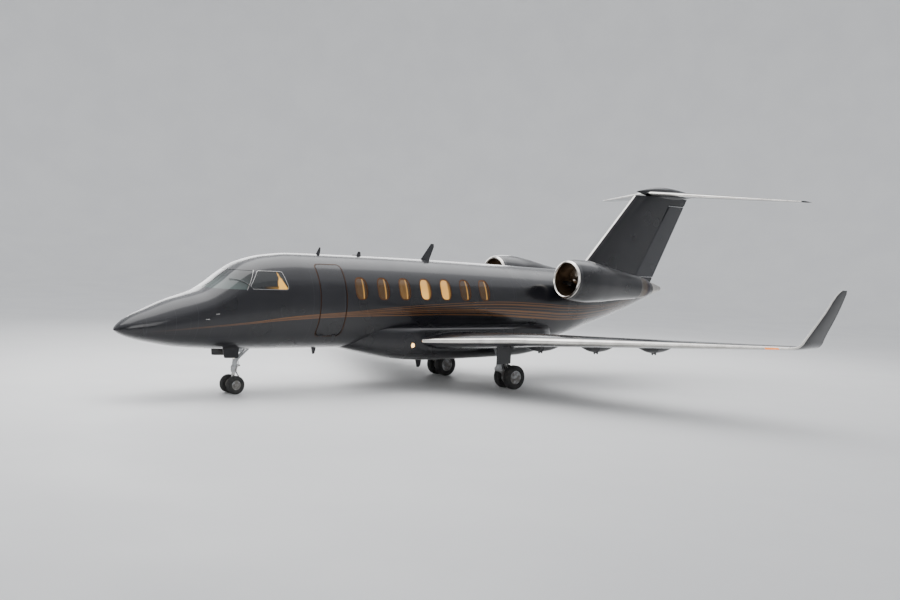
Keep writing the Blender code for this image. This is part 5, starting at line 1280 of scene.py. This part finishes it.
def make_hinge_cheeks(skin, side):
    """Fixed cheeks and pins that carry the flap at each track."""
    span = flap_hinge(side, TRACKS[-1]) - flap_hinge(side, TRACKS[0])
    axis = span / np.linalg.norm(span)
    cheek = [(0.034, 0.0), (0.034, 0.036), (0.037, 0.038), (0.051, 0.038), (0.054, 0.036), (0.054, 0.0)]
    for place in TRACKS:
        hinge = flap_hinge(side, place)
        for sign in (-1, 1):
            spun(skin, [(sign * along, radius) for along, radius in cheek], hinge, axis, 32)
        spun(skin, [(-0.034, 0.0), (-0.034, 0.010), (0.034, 0.010), (0.034, 0.0)], hinge, axis, 24)


def make_flap(label, side):
    """The flap: the wing's own section behind the flap's front line, closed by a sloping front, and the rear
    halves of its tracks."""
    rings = []
    rise = np.linspace(0, 1, 13)[:-1]
    for place in (FLAP_SPAN[0], TRACKS[0], 3.6, 5.0, FLAP_SPAN[1]):
        lead, height, chord, thickness = at_place(WING, place)
        loop = section(chord, thickness, CAMBER, front_share(place, FLAP_SPAN, FLAP_FRONT))
        low, tall = loop[-1], loop[0, 1] - loop[-1, 1]
        front = np.stack([low[0] + 0.25 * tall * (1 - rise), low[1] + tall * rise], -1)
        rings.append(stood(np.concatenate([loop[:-1], front]), lead, side * place, height, INCIDENCE))
    skin = Skin().loft(rings)
    for place in TRACKS:
        track_half(skin, side, place, REAR_TRACK, 1)
    skin.make("flap_skin_" + label, PAINT, "flap_" + label, "black_paint", "flap_" + label)


def make_aileron(label, side):
    """The aileron: the wing's own section behind the hinge line, with a round front."""
    rings = []
    for place in AILERON_SPAN:
        lead, height, chord, thickness = at_place(WING, place)
        loop = hinged(chord, thickness, AILERON_FRONT, CAMBER)
        rings.append(stood(loop, lead, side * place, height, INCIDENCE))
    skin = Skin().loft(rings)
    skin.make("aileron_skin_" + label, PAINT, "aileron_" + label, "black_paint", "aileron_" + label)


def make_winglet(label, side):
    """The wing's tip blended up into the winglet: each value runs smoothly from station to station."""
    table = np.array(WINGLET)
    steps = np.concatenate([[0], np.cumsum(np.hypot(np.diff(table[:, 0]), np.diff(table[:, 2])))])
    curves = [line(list(zip(steps, table[:, i]))) for i in range(5)]
    places = np.concatenate([np.linspace(0, steps[3], 18), np.linspace(steps[3], steps[-1], 16)[1:]])
    body, nose = [], []
    for number, t in enumerate(places):
        place, lead, height, chord, lean = (float(curve(t)) for curve in curves)
        angle = math.radians(lean)
        level = float(np.clip(1 - t / steps[2], 0, 1))
        thickness = 0.09 + 0.015 * level
        for store, loop in ((body, section(chord, thickness, CAMBER * level)),
                            (nose, nose_loop(chord, thickness))):
            z = loop[:, 1] - loop[:, 0] * INCIDENCE * level
            ring = np.stack([lead + loop[:, 0] - HALF_LENGTH, side * (place - z * math.sin(angle)),
                             height + z * math.cos(angle)], -1)
            if number == 0:
                ring[:, 1] = side * WINGLET_ROOT
            store.append(ring)
    Skin().loft(body).make("winglet_skin_" + label, PAINT, "airframe", "black_paint", "winglet_" + label)
    Skin().grid(np.array(nose)).make("winglet_nose_" + label, POLISHED, "airframe", "bright_metal")


def nose_loop(chord, thickness, reach=0.06, proud=0.001, count=21):
    """The front of a section from below to above, a hair proud."""
    signed = np.linspace(-1, 1, count)
    share = reach * signed ** 2
    return np.stack([share * chord - proud * (1 - signed ** 2),
                     np.sign(signed) * (foil(share, thickness) * chord + proud)], -1)


def fin_line(height):
    """Leading edge and chord of the fin at a height."""
    share = (height - FIN[0][0]) / (FIN[1][0] - FIN[0][0])
    return [FIN[0][i] + (FIN[1][i] - FIN[0][i]) * share for i in (1, 2)]


def fin_side(side):
    """The fin's skin on one side as a surface of (height, share of the chord)."""
    def surface(height, share):
        lead, chord = fin_line(height)
        half = foil(share, FIN_THICKNESS) * chord
        return np.stack([lead + share * chord - HALF_LENGTH, side * half, height], -1)
    return surface


def rudder_front(height):
    """Station of the rudder's hinge line at a height."""
    share = (height - RUDDER_FRONT[0][0]) / (RUDDER_FRONT[1][0] - RUDDER_FRONT[0][0])
    return RUDDER_FRONT[0][1] + (RUDDER_FRONT[1][1] - RUDDER_FRONT[0][1]) * share


def rudder_shape(height):
    """Leading edge and chord of the fin at a height, and the rudder's hinge line as a chord share, with the
    radius of the round front about it."""
    lead, chord = fin_line(height)
    share = (rudder_front(height) - lead) / chord
    return lead, chord, share, float(foil(share, FIN_THICKNESS)) * chord


def make_fin():
    """Fin and rudder. The fin is cut back to clear the rudder's round front, and a thin web at each end of
    the rudder closes most of its gap."""
    skin = Skin()
    foot, head = RUDDER_SPAN[0] - RUDDER_DROP, RUDDER_SPAN[1] + RUDDER_LIFT
    for low, high, cut in ((FIN[0][0], foot, False), (foot, head, True), (head, FIN[1][0], False)):
        rings = []
        for height in np.linspace(low, high, 9):
            lead, chord, _, radius = rudder_shape(height)
            end = (rudder_front(height) - radius - NOSE_PLAY - lead) / chord if cut else 1.0
            rings.append(laid(section(chord, FIN_THICKNESS, 0.0, 0.0, end, 34), lead, height))
        skin.loft(rings)
    half = np.array([0.0005, 0.003, 0.003, 0.0005])
    for low, high in ((foot - 0.005, RUDDER_SPAN[0] - WEB_PLAY), (RUDDER_SPAN[1] + WEB_PLAY, head + 0.005)):
        rings = []
        for height in (low, high):
            lead, chord = fin_line(height)
            start = rudder_front(height) - lead
            along = start + (chord - start) * np.array([-0.05, 0.02, 0.55, 0.97])
            loop = np.concatenate([np.stack([along, half], -1), np.stack([along, -half], -1)[::-1]])
            rings.append(laid(loop, lead, height))
        skin.loft(rings)
    skin.make("fin_skin", PAINT, "airframe", "black_paint", "fin")

    foot, head, reach = FIN_SHINE
    rows = []
    for height in np.linspace(foot, head, 9):
        lead, chord = fin_line(height)
        rows.append(laid(nose_loop(chord, FIN_THICKNESS, reach), lead, height))
    Skin().grid(np.array(rows)).make("fin_nose", POLISHED, "airframe", "bright_metal")

    rings = []
    for height in np.linspace(*RUDDER_SPAN, 7):
        lead, chord, share, _ = rudder_shape(height)
        rings.append(laid(hinged(chord, FIN_THICKNESS, share), lead, height))
    Skin().loft(rings).make("rudder_skin", GREY, "rudder", "grey_paint", "rudder")


def make_tailplane():
    """The bullet fairing, whose radius is a quarter sine up to its fullest ring and most of a quarter cosine
    down from it, and the tailplane with its elevators."""
    front, rear, level, fullest = BULLET
    share = np.linspace(0, 1, 48) ** 1.25
    swell = np.where(share < 0.45, np.sin(math.pi * np.minimum(share / 0.9, 0.5)),
                     np.cos(math.pi / 2 * (share - 0.45) / 0.62))
    radius = np.maximum(fullest * swell, 0.004)[:, None]
    angle = np.arange(48) / 48 * TURN
    x = front - HALF_LENGTH + (rear - front) * share
    rings = np.stack(np.broadcast_arrays(x[:, None], 0.8 * radius * np.sin(angle),
                                         level + radius * np.cos(angle)), -1)
    Skin().loft(rings).make("tail_bullet_skin", PAINT, "airframe", "black_paint", "tail_bullet")

    low, high = ELEVATOR_SPAN[0] - END_PLAY, ELEVATOR_SPAN[1] + END_PLAY
    cut = [ELEVATOR_FRONT - (front_radius(TAIL, ELEVATOR_FRONT, p) + NOSE_PLAY) / at_place(TAIL, p)[2]
           for p in (low, high)]
    root, tip, reach = TAIL_SHINE
    for label, side in SIDES.items():
        skin = Skin()
        for places, ends in (([0.02, low], None), ([low, high], cut), ([high, TAIL[1][0]], None)):
            skin.loft(surface_rings(TAIL, 0.0, 0.0, side, places, ends))
        skin.make("tailplane_skin_" + label, PAINT, "airframe", "black_paint", "tailplane_" + label)
        rows, rings = [], []
        for place in np.linspace(root, tip, 8):
            lead, height, chord, thickness = at_place(TAIL, place)
            rows.append(stood(nose_loop(chord, thickness, reach), lead, side * place, height))
        Skin().grid(np.array(rows)).make("tailplane_nose_" + label, POLISHED, "airframe", "bright_metal")
        for place in ELEVATOR_SPAN:
            lead, height, chord, thickness = at_place(TAIL, place)
            rings.append(stood(hinged(chord, thickness, ELEVATOR_FRONT), lead, side * place, height))
        skin = Skin().loft(rings)
        skin.make("elevator_skin_" + label, PAINT, "elevator_" + label, "black_paint", "elevator_" + label)


def make_belly_fairing():
    """Bulged fairing under the cabin: superellipse rings, flattened where the wing roots meet it."""
    low, wide = line(FAIRING_KEEL), line(FAIRING_BREADTH)
    station = np.linspace(FAIRING_KEEL[0][0], FAIRING_KEEL[-1][0], 64)[:, None]
    angle = np.arange(96) / 96 * TURN
    y = np.clip(wide(station) * signed_power(np.sin(angle), 0.62), -FAIRING_CUT, FAIRING_CUT)
    tall = signed_power(np.cos(angle), 0.62)
    z = FAIRING_MIDDLE + np.where(tall > 0, FAIRING_RISE, FAIRING_MIDDLE - low(station)) * tall
    skin = Skin().loft(np.stack(np.broadcast_arrays(station - HALF_LENGTH, y, z), -1))
    skin.make("belly_fairing_skin", PAINT, "airframe", "black_paint", "belly_fairing", sharp=50.0)


# Engines

def engine_axis(side):
    """The middle of an inlet, and the engine's direction, which falls as it runs aft."""
    turn = Matrix.Rotation(ENGINE_TILT, 3, "Y")
    start = Vector((INLET[0] - HALF_LENGTH, side * INLET[1], INLET[2]))
    return np.array(start), np.array(turn @ Vector((1, 0, 0)))


def make_engine(label, side):
    """A nacelle: lip, shell, duct and nozzle, each a profile turned about the engine's axis, and what is in
    it and behind it."""
    centre, axis = engine_axis(side)
    cowl, duct = line(COWL), line(DUCT)
    front = LIP * np.linspace(0, 1, 18) ** 2
    inner, outer = (np.stack([front, radius(front)], -1) for radius in (duct, cowl))
    lip = spun(Skin(), np.concatenate([inner[::-1], outer[1:]]), centre, axis, 96, True)
    lip.make("inlet_lip_skin_" + label, LIP_METAL, "airframe", "bright_metal", "inlet_lip_" + label)
    back = np.linspace(LIP + 0.0003, COWL_END, 48)
    shell = spun(Skin(), np.stack([back, cowl(back)], -1), centre, axis, 96)
    shell.make("nacelle_skin_" + label, PAINT, "airframe", "black_paint", "nacelle_" + label)
    bore = spun(Skin(), np.stack([back, duct(back)], -1)[::-1], centre, axis, 96)
    bore.make("nacelle_duct_" + label, DUCT_METAL, "airframe", "engine_metal")
    nozzle = spun(Skin(), NOZZLE, centre, axis, 96, True)
    nozzle.make("nozzle_skin_" + label, BURNT, "airframe", "engine_metal", "nozzle_" + label)
    make_fan(label, centre, axis)
    make_vanes(label, centre, axis)
    make_pylon(label, side)


def make_fan(label, centre, axis, blades=24):
    """Spinner, hub and wide blades. A blade's faces are parabolas across its chord, apart by its thickness,
    and its twist grows from root to tip."""
    skin = Skin()
    spinner = [(-0.20, 0.0005), (-0.19, 0.025), (-0.17, 0.048), (-0.13, 0.078), (-0.08, 0.104),
               (-0.03, 0.128), (0.0, 0.14), (0.10, 0.142), (0.10, 0.0005)]
    spun(skin, [(FAN_AT + along, radius) for along, radius in spinner], centre, axis, 64)
    root, tip = FAN_RADII
    radius = np.linspace(root, tip, 9)
    chord = 0.085 + 0.03 * np.sin((radius - root) / (tip - root) * math.pi * 0.8)
    twist = np.radians(np.linspace(32, 62, 9))[:, None]
    share = np.linspace(-0.5, 0.5, 7)[None]
    across, dome = share * chord[:, None], 1 - (2 * share) ** 2
    for radial in circles(axis, blades):
        around = np.cross(axis, radial)
        for face in (1, -1):
            lift = (0.012 + face * 0.003) * dome
            forward = across * np.cos(twist) - lift * np.sin(twist)
            turn = across * np.sin(twist) + lift * np.cos(twist)
            points = (centre + (FAN_AT + 0.05 + forward)[..., None] * axis + radius[:, None, None] * radial
                      + turn[..., None] * around)
            skin.grid(points if face > 0 else points[:, ::-1])
    skin.make("fan_blades_" + label, FAN_METAL, "fan_" + label, "fan_metal", "fan_" + label)


def make_vanes(label, centre, axis, vanes=30):
    """Guide vanes, bent as parabolas, and the core's case behind the fan, in front of the plain core."""
    skin = Skin()
    radius = np.linspace(0.20, 0.443, 5)[:, None, None]
    share = np.linspace(0, 1, 6)[:, None]
    for radial in circles(axis, vanes):
        around = np.cross(axis, radial)
        points = centre + (0.665 + 0.07 * share) * axis + radius * radial + 0.03 * share ** 2 * around
        skin.grid(points)
        skin.grid(points[:, ::-1] + around * 0.002)
    spun(skin, [(0.66, 0.19), (0.66, 0.20), (0.755, 0.205), (0.755, 0.19)], centre, axis, 64)
    skin.make("fan_exit_vanes_" + label, STEEL, "airframe", "engine_metal")


def make_pylon(label, side):
    """A symmetrical section carried straight out from the body and tilted with the engine."""
    inner, outer, setback, chord, thickness, drop = PYLON
    loop, slope = section(chord, thickness / chord), math.tan(ENGINE_TILT)
    rings = [stood(loop, INLET[0] + setback, side * y, INLET[2] - drop - setback * slope, slope)
             for y in np.linspace(inner, outer, 5)]
    Skin().loft(rings).make("pylon_skin_" + label, PAINT, "airframe", "black_paint", "pylon_" + label)


# Landing gear

def tyre_profile(radius, width, rim):
    """A fat tyre's section with three tread grooves and round shoulders, as (across, radius)."""
    half = width / 2
    tread = []
    for middle in (-0.32, 0.0, 0.32):
        tread += [(middle + a, r) for a, r in ((-0.05, 1.0), (-0.035, 0.975), (0.035, 0.975), (0.05, 1.0))]
    shoulder = [(0.62, 0.998), (0.80, 0.975), (0.92, 0.93), (0.99, 0.86), (1.0, 0.79)]
    bead = [(0.97 * half, radius * 0.70), (0.86 * half, rim * 1.08), (0.76 * half, rim)]
    right = [(a * half, radius * r) for a, r in shoulder] + bead
    return ([(a * half, radius * r) for a, r in tread] + right + [(-a, r) for a, r in right[::-1]])


def make_wheels(name, body, tyres, centre, apart, radius, width, rim, axle):
    """A pair of wheels on one axle: dished hubs with hand holes, rim flanges and tie bolts."""
    half = width / 2 * 0.76
    face = [(-half, rim - 0.0004), (half, rim - 0.0004), (half * 1.02, rim - 0.006), (half, rim - 0.016),
            (half * 0.6, rim - 0.024), (half * 0.42, rim * 0.80), (half * 0.40, rim * 0.60),
            (half * 0.30, rim * 0.42), (half * 0.55, rim * 0.34), (half * 0.95, rim * 0.30),
            (half, rim * 0.27), (half, 0.0005)]
    back = [(-half, rim - 0.0004), (-half, rim * 0.5), (-half * 0.8, axle * 1.3), (-apart, axle * 0.995)]
    bolt = [(0.0, 0.0085), (0.009, 0.0085), (0.011, 0.006), (0.011, 0.0003)]
    hole = [(0.0, rim * 0.075), (0.003, rim * 0.065), (-0.002, rim * 0.055), (-0.004, 0.0003)]
    hubs = Skin()
    for sign in (-1, 1):
        middle, axis = centre + [0, sign * apart, 0], np.array([0, sign * 1.0, 0])
        spun(hubs, face, middle, axis, 64)
        spun(hubs, back, middle, axis, 64)
        for number in range(10):
            for fitting, shift, depth, reach, sides in ((bolt, 0.0, 0.41, 0.68, 6),
                                                        (hole, 0.5, 0.42, 0.50, 16)):
                angle = (number + shift) / 10 * TURN
                spot = reach * rim * np.array([math.cos(angle), 0, math.sin(angle)])
                spun(hubs, fitting, middle + axis * half * depth + spot, axis, sides)
    hubs.make(name + "_hubs", ENAMEL, body, "gear_metal", body)
    for tyre, sign in zip(tyres, (-1, 1)):
        rubber_skin = spun(Skin(), tyre_profile(radius, width, rim), centre + [0, sign * apart, 0],
                           (0, 1, 0), 96, True)
        rubber_skin.make(tyre + "_rubber", RUBBER, body, "tyre_rubber", tyre)


def make_nose_gear():
    """The fixed leg, what steers with it and the bay's doors. Places are given from the axle's station."""
    station, _, axle_height = NOSE_WHEELS
    x = station - HALF_LENGTH
    top, foot = np.array([x + 0.10, 0, 1.28]), np.array([x + 0.035, 0, 0.62])
    axis = (top - foot) / np.linalg.norm(top - foot)
    leg = Skin()
    spun(leg, [(0.0, 0.0), (0.0, 0.082), (0.055, 0.082), (0.07, 0.07), (0.10, 0.062), (0.50, 0.062),
               (0.52, 0.068), (0.56, 0.068), (0.58, 0.062), (0.66, 0.062), (0.66, 0.0)], foot, axis, 40)
    bar(leg, [(x + 0.08, -0.22, 1.10), (x + 0.08, 0.22, 1.10)], 0.05, 28)
    for sign in (-1, 1):
        bar(leg, [(x + 0.05, sign * 0.03, 0.80), (x + 0.50, sign * 0.10, 1.25)], 0.026, 20)
        bar(leg, [(x + aft, sign * 0.13, 0.92) for aft in (-0.05, -0.02, 0.04)], [0.05, 0.05, 0.032], 28)
        bar(leg, [(x + 0.10, sign * 0.085, 0.66), (x + 0.10, sign * 0.088, 0.80),
                  (x + 0.07, sign * 0.07, 0.90)], 0.012, 12)
    bar(leg, [(x + 0.01, -0.13, 0.92), (x + 0.01, 0.13, 0.92)], 0.02, 20)
    bar(leg, [(x + 0.16, -0.05, 0.70), (x + 0.16, 0.05, 0.70)], 0.022, 20)
    leg.make("nose_strut", ENAMEL, "airframe", "gear_metal", "nose_leg")
    lens = Skin()
    for sign in (-1, 1):
        spun(lens, [(0.0, 0.0475), (0.004, 0.046), (0.008, 0.03), (0.010, 0.0003)],
             (x - 0.0485, sign * 0.13, 0.92), (-1, 0, 0), 32)
    lens.make("taxi_lamp_lenses", CLEAR, "airframe", "windscreen_glass")

    axle = np.array([x, 0, axle_height])
    collar, knee = foot - axis * 0.0003, axle + [0.17, 0, 0.20]
    fork = Skin()
    spun(fork, [(0.0, 0.0), (0.0, 0.078), (-0.05, 0.078), (-0.06, 0.065), (-0.09, 0.062), (-0.09, 0.0)],
         collar, axis, 40)
    bar(fork, [axle + [0, -0.07, 0], axle + [0, 0.07, 0]], 0.055, 32)
    for sign in (-1, 1):
        elbow = knee + [0, sign * 0.008, 0]
        bar(fork, [axle + [0.03, sign * 0.018, 0.05], elbow], [0.014, 0.011], 14)
        bar(fork, [elbow, collar + [0.04, sign * 0.018, -0.055]], [0.011, 0.014], 14)
    bar(fork, [knee + [0, -0.03, 0], knee + [0, 0.03, 0]], 0.014, 18)
    fork.make("nose_fork_links", ENAMEL, "nose_steering", "gear_metal", "nose_fork")
    piston = bar(Skin(), [foot - axis * 0.36, foot - axis * 0.08], 0.0445, 40)
    piston.make("nose_piston", STEEL, "nose_steering", "gear_metal")
    make_wheels("nose", "nose_wheels", ["nose_tyre_left", "nose_tyre_right"], axle, *NOSE_TYRE)
    for label, side in SIDES.items():
        door = plate(NOSE_BAY, lambda z, depth: side * (0.29 + 0.10 * (1.30 - z) + depth), 0.022)
        door.make("nose_bay_door_" + label, PAINT, "airframe", "black_paint", "nose_gear_door_" + label)


def plate(outline, across, thickness):
    """A plate with softened edges, from an outline of (station, height): the outline at four depths, drawn
    in at both faces. across gives Y from height and depth."""
    loop = resample(rounded(outline, 0.03), 60)
    rings = []
    for depth, inset in ((0.0, 0.003), (0.004, 0.0), (thickness - 0.004, 0.0), (thickness, 0.003)):
        shape = shrunk(loop, inset)
        rings.append(np.stack([shape[:, 0] - HALF_LENGTH, across(shape[:, 1], depth), shape[:, 1]], -1))
    return Skin().loft(rings)


def make_main_gear(label, side):
    """A trailing-link leg with its shock strut, hoses and door. Places are given from the axle."""
    station, out, height = MAIN_WHEELS
    x, y = station - HALF_LENGTH, side * out
    axle = np.array([x, y, height])
    knee, top = np.array([x - 0.42, y, 0.56]), np.array([x - 0.36, y, 1.20])
    leg = Skin()
    bar(leg, [knee, knee * 0.92 + top * 0.08, knee * 0.88 + top * 0.12, top],
        [0.085, 0.085, 0.078, 0.085], 36)
    bar(leg, [knee + [0, -0.085, 0], knee + [0, 0.085, 0]], 0.075, 36)
    bar(leg, [knee, axle], [0.062, 0.05], 28)
    bar(leg, [axle + [0, -0.085, 0], axle + [0, 0.085, 0]], 0.075, 36)
    bar(leg, [(x - 0.17, y, 0.74), (x - 0.28, y, 1.14)], 0.058, 32)
    bar(leg, [(x - 0.40, y, 0.78), (x - 0.40, side * 1.30, 1.16)], 0.03, 20)
    ends = sorted((y, y + side * 0.13))
    bar(leg, [(x - 0.44, end, 0.89) for end in ends], 0.018, 16)
    for shift in (-0.03, 0.03):
        hose = ((-0.33, 1.10), (-0.32, 0.75), (-0.25, 0.55), (-0.06, 0.44))
        bar(leg, [(x + aft, y + shift, level) for aft, level in hose], 0.009, 10)
    leg.make("main_strut_" + label, ENAMEL, "airframe", "gear_metal", "main_leg_" + label)
    piston = bar(Skin(), [(x - 0.08, y, 0.386), (x - 0.20, y, 0.81)], 0.038, 32)
    piston.make("main_shock_piston_" + label, STEEL, "airframe", "gear_metal")
    door = plate(corners(station - 0.62, station - 0.10, 0.71, 1.18),
                 lambda z, depth: side * (out + 0.125 + depth) + 0 * z, 0.020)
    door.make("main_leg_door_" + label, PAINT, "airframe", "black_paint")
    tyres = ["main_tyre_%s_outer" % label, "main_tyre_%s_inner" % label]
    make_wheels("main_" + label, "main_wheels_" + label, tyres if side < 0 else tyres[::-1], axle, *MAIN_TYRE)


# Small fittings

def fin_blade(skin, station, foot, chord, tip_chord, height, sweep, thickness):
    """A thin swept aerial with a lens-shaped section."""
    arc = np.sin(np.linspace(0, math.pi, 9))
    along = np.linspace(0, 1, 9)
    lens = np.stack([np.concatenate([along, along[-2:0:-1]]), np.concatenate([arc, -arc[-2:0:-1]])], -1)
    rings = []
    for share in np.linspace(0, 1, 7):
        length = (chord + (tip_chord - chord) * share) * (0.7 if share == 1 else 1.0)
        wide = thickness / 2 * (length / chord) ** 0.5
        rings.append(laid(lens * [length, wide], station + sweep * share, foot + height * share))
    return skin.loft(rings)


def make_aerials():
    """Blade aerials along the crown and under the belly."""
    skin = Skin()
    for blade in AERIALS:
        fin_blade(skin, *blade)
    skin.make("blade_aerials", GREY, "airframe", "black_paint")


def ribbon(skin, surface, loop, width, lift=0.0008, closed=True):
    """A thin strip that follows a line drawn on a surface."""
    place = surface(loop[:, 0], loop[:, 1])
    normal = outward(surface, loop[:, 0], loop[:, 1])
    tangent = np.roll(place, -1, 0) - np.roll(place, 1, 0)
    if not closed:
        tangent[0], tangent[-1] = place[1] - place[0], place[-1] - place[-2]
    tangent /= np.linalg.norm(tangent, axis=1, keepdims=True)
    across = np.cross(normal, tangent) * width / 2
    points = np.stack([place + across + normal * lift, place - across + normal * lift], 1)
    normals = np.repeat(normal[:, None], 2, 1).reshape(-1, 3)
    quads = orient(quads_between(len(loop), 2, looped=closed), points.reshape(-1, 3), normals)
    return skin.add(points, quads, normals)


def make_seams():
    """Panel joints, door and window surrounds, drawn as thin strips on the skin."""
    seams, trim = Skin(), Skin()
    around = np.linspace(-math.pi, math.pi, 145)
    for station in SEAMS:
        ribbon(seams, hull, np.stack([np.full(145, station), around], -1), 0.006)
    for side in SIDES.values():
        for box in PANELS:
            ribbon(seams, hull, to_hull(box_loop(box, 0.04, 80), side), 0.005)
        ribbon(trim, hull, to_hull(side_window_loop(-0.012), side), 0.010)
        ribbon(trim, hull, front_pane_loop(side, -0.010)[:24], 0.009, closed=False)
        share = np.linspace(0.012, 0.86, 40)
        ribbon(seams, fin_side(side), np.stack([np.full(40, FIN_JOINT), share], -1), 0.007, closed=False)
    ribbon(seams, hull, to_hull(box_loop(HATCH, 0.12, 100), SIDES["left"]), 0.008)
    seams.make("panel_joints", GREY, "airframe", "black_paint")
    trim.make("cockpit_window_trim", STEEL, "airframe", "bright_metal")
    rim = ribbon(Skin(), hull, to_hull(door_loop(-0.015), -1), 0.022)
    rim.make("door_rim", DARK_BRONZE, "airframe", "bright_metal")


def box_loop(edges, radius, count):
    """A rounded oblong between two stations and two heights."""
    return resample(rounded(corners(*edges), radius), count)


def make_probes():
    """Air data probes, static wicks, wipers and the wing's lamps."""
    skin, wipers, roots, tips = Skin(), Skin(), Skin(), Skin()
    for side in SIDES.values():
        for station, height in PROBES:
            base = hull(station, side * hull_angle(station, height))
            bar(skin, [base, base + [0.0, side * 0.05, 0.0], base + [-0.10, side * 0.06, 0.0]],
                [0.012, 0.009, 0.005], 14)
        station = np.linspace(*WIPER[:2], 8)
        angle = side * hull_angle(station, WIPER[2]) * np.linspace(0.55, 1.0, 8)
        bar(wipers, hull(station, angle) + outward(hull, station, angle) * 0.012, 0.007, 8)
        for place in WICKS:
            lead, height, chord, _ = at_place(WING, place)
            tail = np.array([lead + chord - HALF_LENGTH, side * place, height - chord * INCIDENCE])
            bar(skin, [tail, tail + [0.13, 0, 0]], 0.0025, 6)
        station, out, height = ROOT_LAMP
        spun(roots, [(-0.03, 0.062), (0.004, 0.062), (0.016, 0.050), (0.024, 0.028), (0.026, 0.0005)],
             (station - HALF_LENGTH, side * out, height), (-0.62, side * 0.78, -0.05), 32)
        rows = []
        for place in np.linspace(*TIP_LAMP, 9):
            lead, height, chord, thickness = at_place(WING, place)
            loop = nose_loop(chord, thickness, 0.05, 0.003)
            rows.append(stood(loop, lead, side * place, height + CAMBER * chord * 4 * 0.02, INCIDENCE))
        tips.grid(np.array(rows)[:, :13])
    skin.make("probes_and_wicks", STEEL, "airframe", "gear_metal")
    wipers.make("wipers", GREY, "airframe", "grey_paint")
    roots.make("wing_root_lamps", AMBER, "airframe", "cabin_glass")
    tips.make("wing_tip_lamps", ORANGE, "airframe", "cabin_glass")


# Stage, light and camera

STUDIO = (20.0, 46.0, 24.0, 30.0)       # radius of the first ring, reach, bend, wall
SKY = ((0.93, 0.95, 1.0, 1), 1.15)
LAMPS = (       # name, place, target, size, spread, power
    ("overhead_bank", (0, 3.9, 13.0), (0, 2.2, 0), (34.0, 10.4), 120, 1450.0),
    ("overhead_fill", (0, 0.0, 15.0), (0, 0.0, 0), (38.0, 22.0), 130, 1100.0),
    ("rear_bank", (6.0, 20.0, 10.0), (0, 0, 2.5), (24.0, 8.0), 120, 900.0),
    ("front_bank", (-20.0, -16.0, 10.0), (-3, 0, 2), (12.0, 8.0), 100, 320.0))
# The photograph's camera, as fitted: its right, up and forward directions, place, sensor and lens
CAMERA_TURN = ((0.781030, -0.622470, 0.050232), (-0.006771, 0.071991, 0.997382),
               (0.624457, 0.779325, -0.052013))
CAMERA_PLACE = (-20.559, -24.96652, 4.04059)
SENSOR, LENS, CLIP_END = 36.0, 44.832, 500.0


def make_stage():
    """Floor that curves up into a wall all round: a flat disc, a quarter circle and a cylinder, so that
    no horizon shows. Wide soft banks of light hang over it."""
    plaster = clouded("pale_floor", (0.35, 4.0), (0.3, 0.7), (0.80, 0.80, 0.79), (0.77, 0.77, 0.765),
                      (0.3, 0.7), (0.5, 0.65))
    first, reach, bend, wall = STUDIO
    arc = np.linspace(0, math.pi / 2, 25)
    radius = np.concatenate([[0.0, first], reach + bend * np.sin(arc), [reach + bend]])[:, None]
    height = np.concatenate([[0.0, 0.0], bend * (1 - np.cos(arc)), [bend + wall]])[:, None]
    angle = np.arange(128) / 128 * TURN
    rows = np.stack(np.broadcast_arrays(radius * np.cos(angle), radius * np.sin(angle), height), -1)
    quads = quads_between(len(radius), 128, closed=True)[:, ::-1]
    mesh = bpy.data.meshes.new("studio_floor")
    mesh.from_pydata(rows.reshape(-1, 3).tolist(), [], quads.tolist())
    tidy(mesh)
    floor = bpy.data.objects.new("studio_floor", mesh)
    bpy.context.collection.objects.link(floor)
    mesh.materials.append(plaster.material)

    world = bpy.data.worlds.new("studio_air")
    bpy.context.scene.world = world
    world.use_nodes = True
    back = world.node_tree.nodes["Background"]
    back.inputs["Color"].default_value, back.inputs["Strength"].default_value = SKY
    for name, place, target, size, spread, power in LAMPS:
        lamp = bpy.data.lights.new(name, "AREA")
        lamp.shape, lamp.size, lamp.size_y, lamp.energy = "RECTANGLE", size[0], size[1], power
        lamp.spread = math.radians(spread)
        item = bpy.data.objects.new(name, lamp)
        bpy.context.collection.objects.link(item)
        aim = (Vector(target) - Vector(place)).to_track_quat("-Z", "Y")
        item.matrix_world = Matrix.Translation(place) @ aim.to_matrix().to_4x4()


def make_camera():
    """Placed where the photograph's camera stood."""
    right, up, forward = (Vector(direction) for direction in CAMERA_TURN)
    data = bpy.data.cameras.new("photo_camera")
    data.sensor_width, data.lens, data.clip_end = SENSOR, LENS, CLIP_END
    item = bpy.data.objects.new("photo_camera", data)
    bpy.context.collection.objects.link(item)
    item.matrix_world = (Matrix.Translation(CAMERA_PLACE)
                         @ Matrix((right, up, -forward)).transposed().to_4x4())
    bpy.context.scene.camera = item


def dress_cad_nodes():
    """The engine cores show as the CAD has them, in burnt metal."""
    for node in ("engine_left", "engine_right"):
        materials = bpy.data.objects[node].data.materials
        materials.clear()
        materials.append(BURNT.material)


make_stage()
make_camera()
dress_cad_nodes()
make_fuselage()
make_door()
make_cabin()
make_glass()
make_belly_fairing()
make_fin()
make_tailplane()
for side_label, side_sign in SIDES.items():
    for make_piece in (make_wing, make_flap, make_aileron, make_winglet, make_engine, make_main_gear):
        make_piece(side_label, side_sign)
make_nose_gear()
make_aerials()
make_seams()
make_probes()
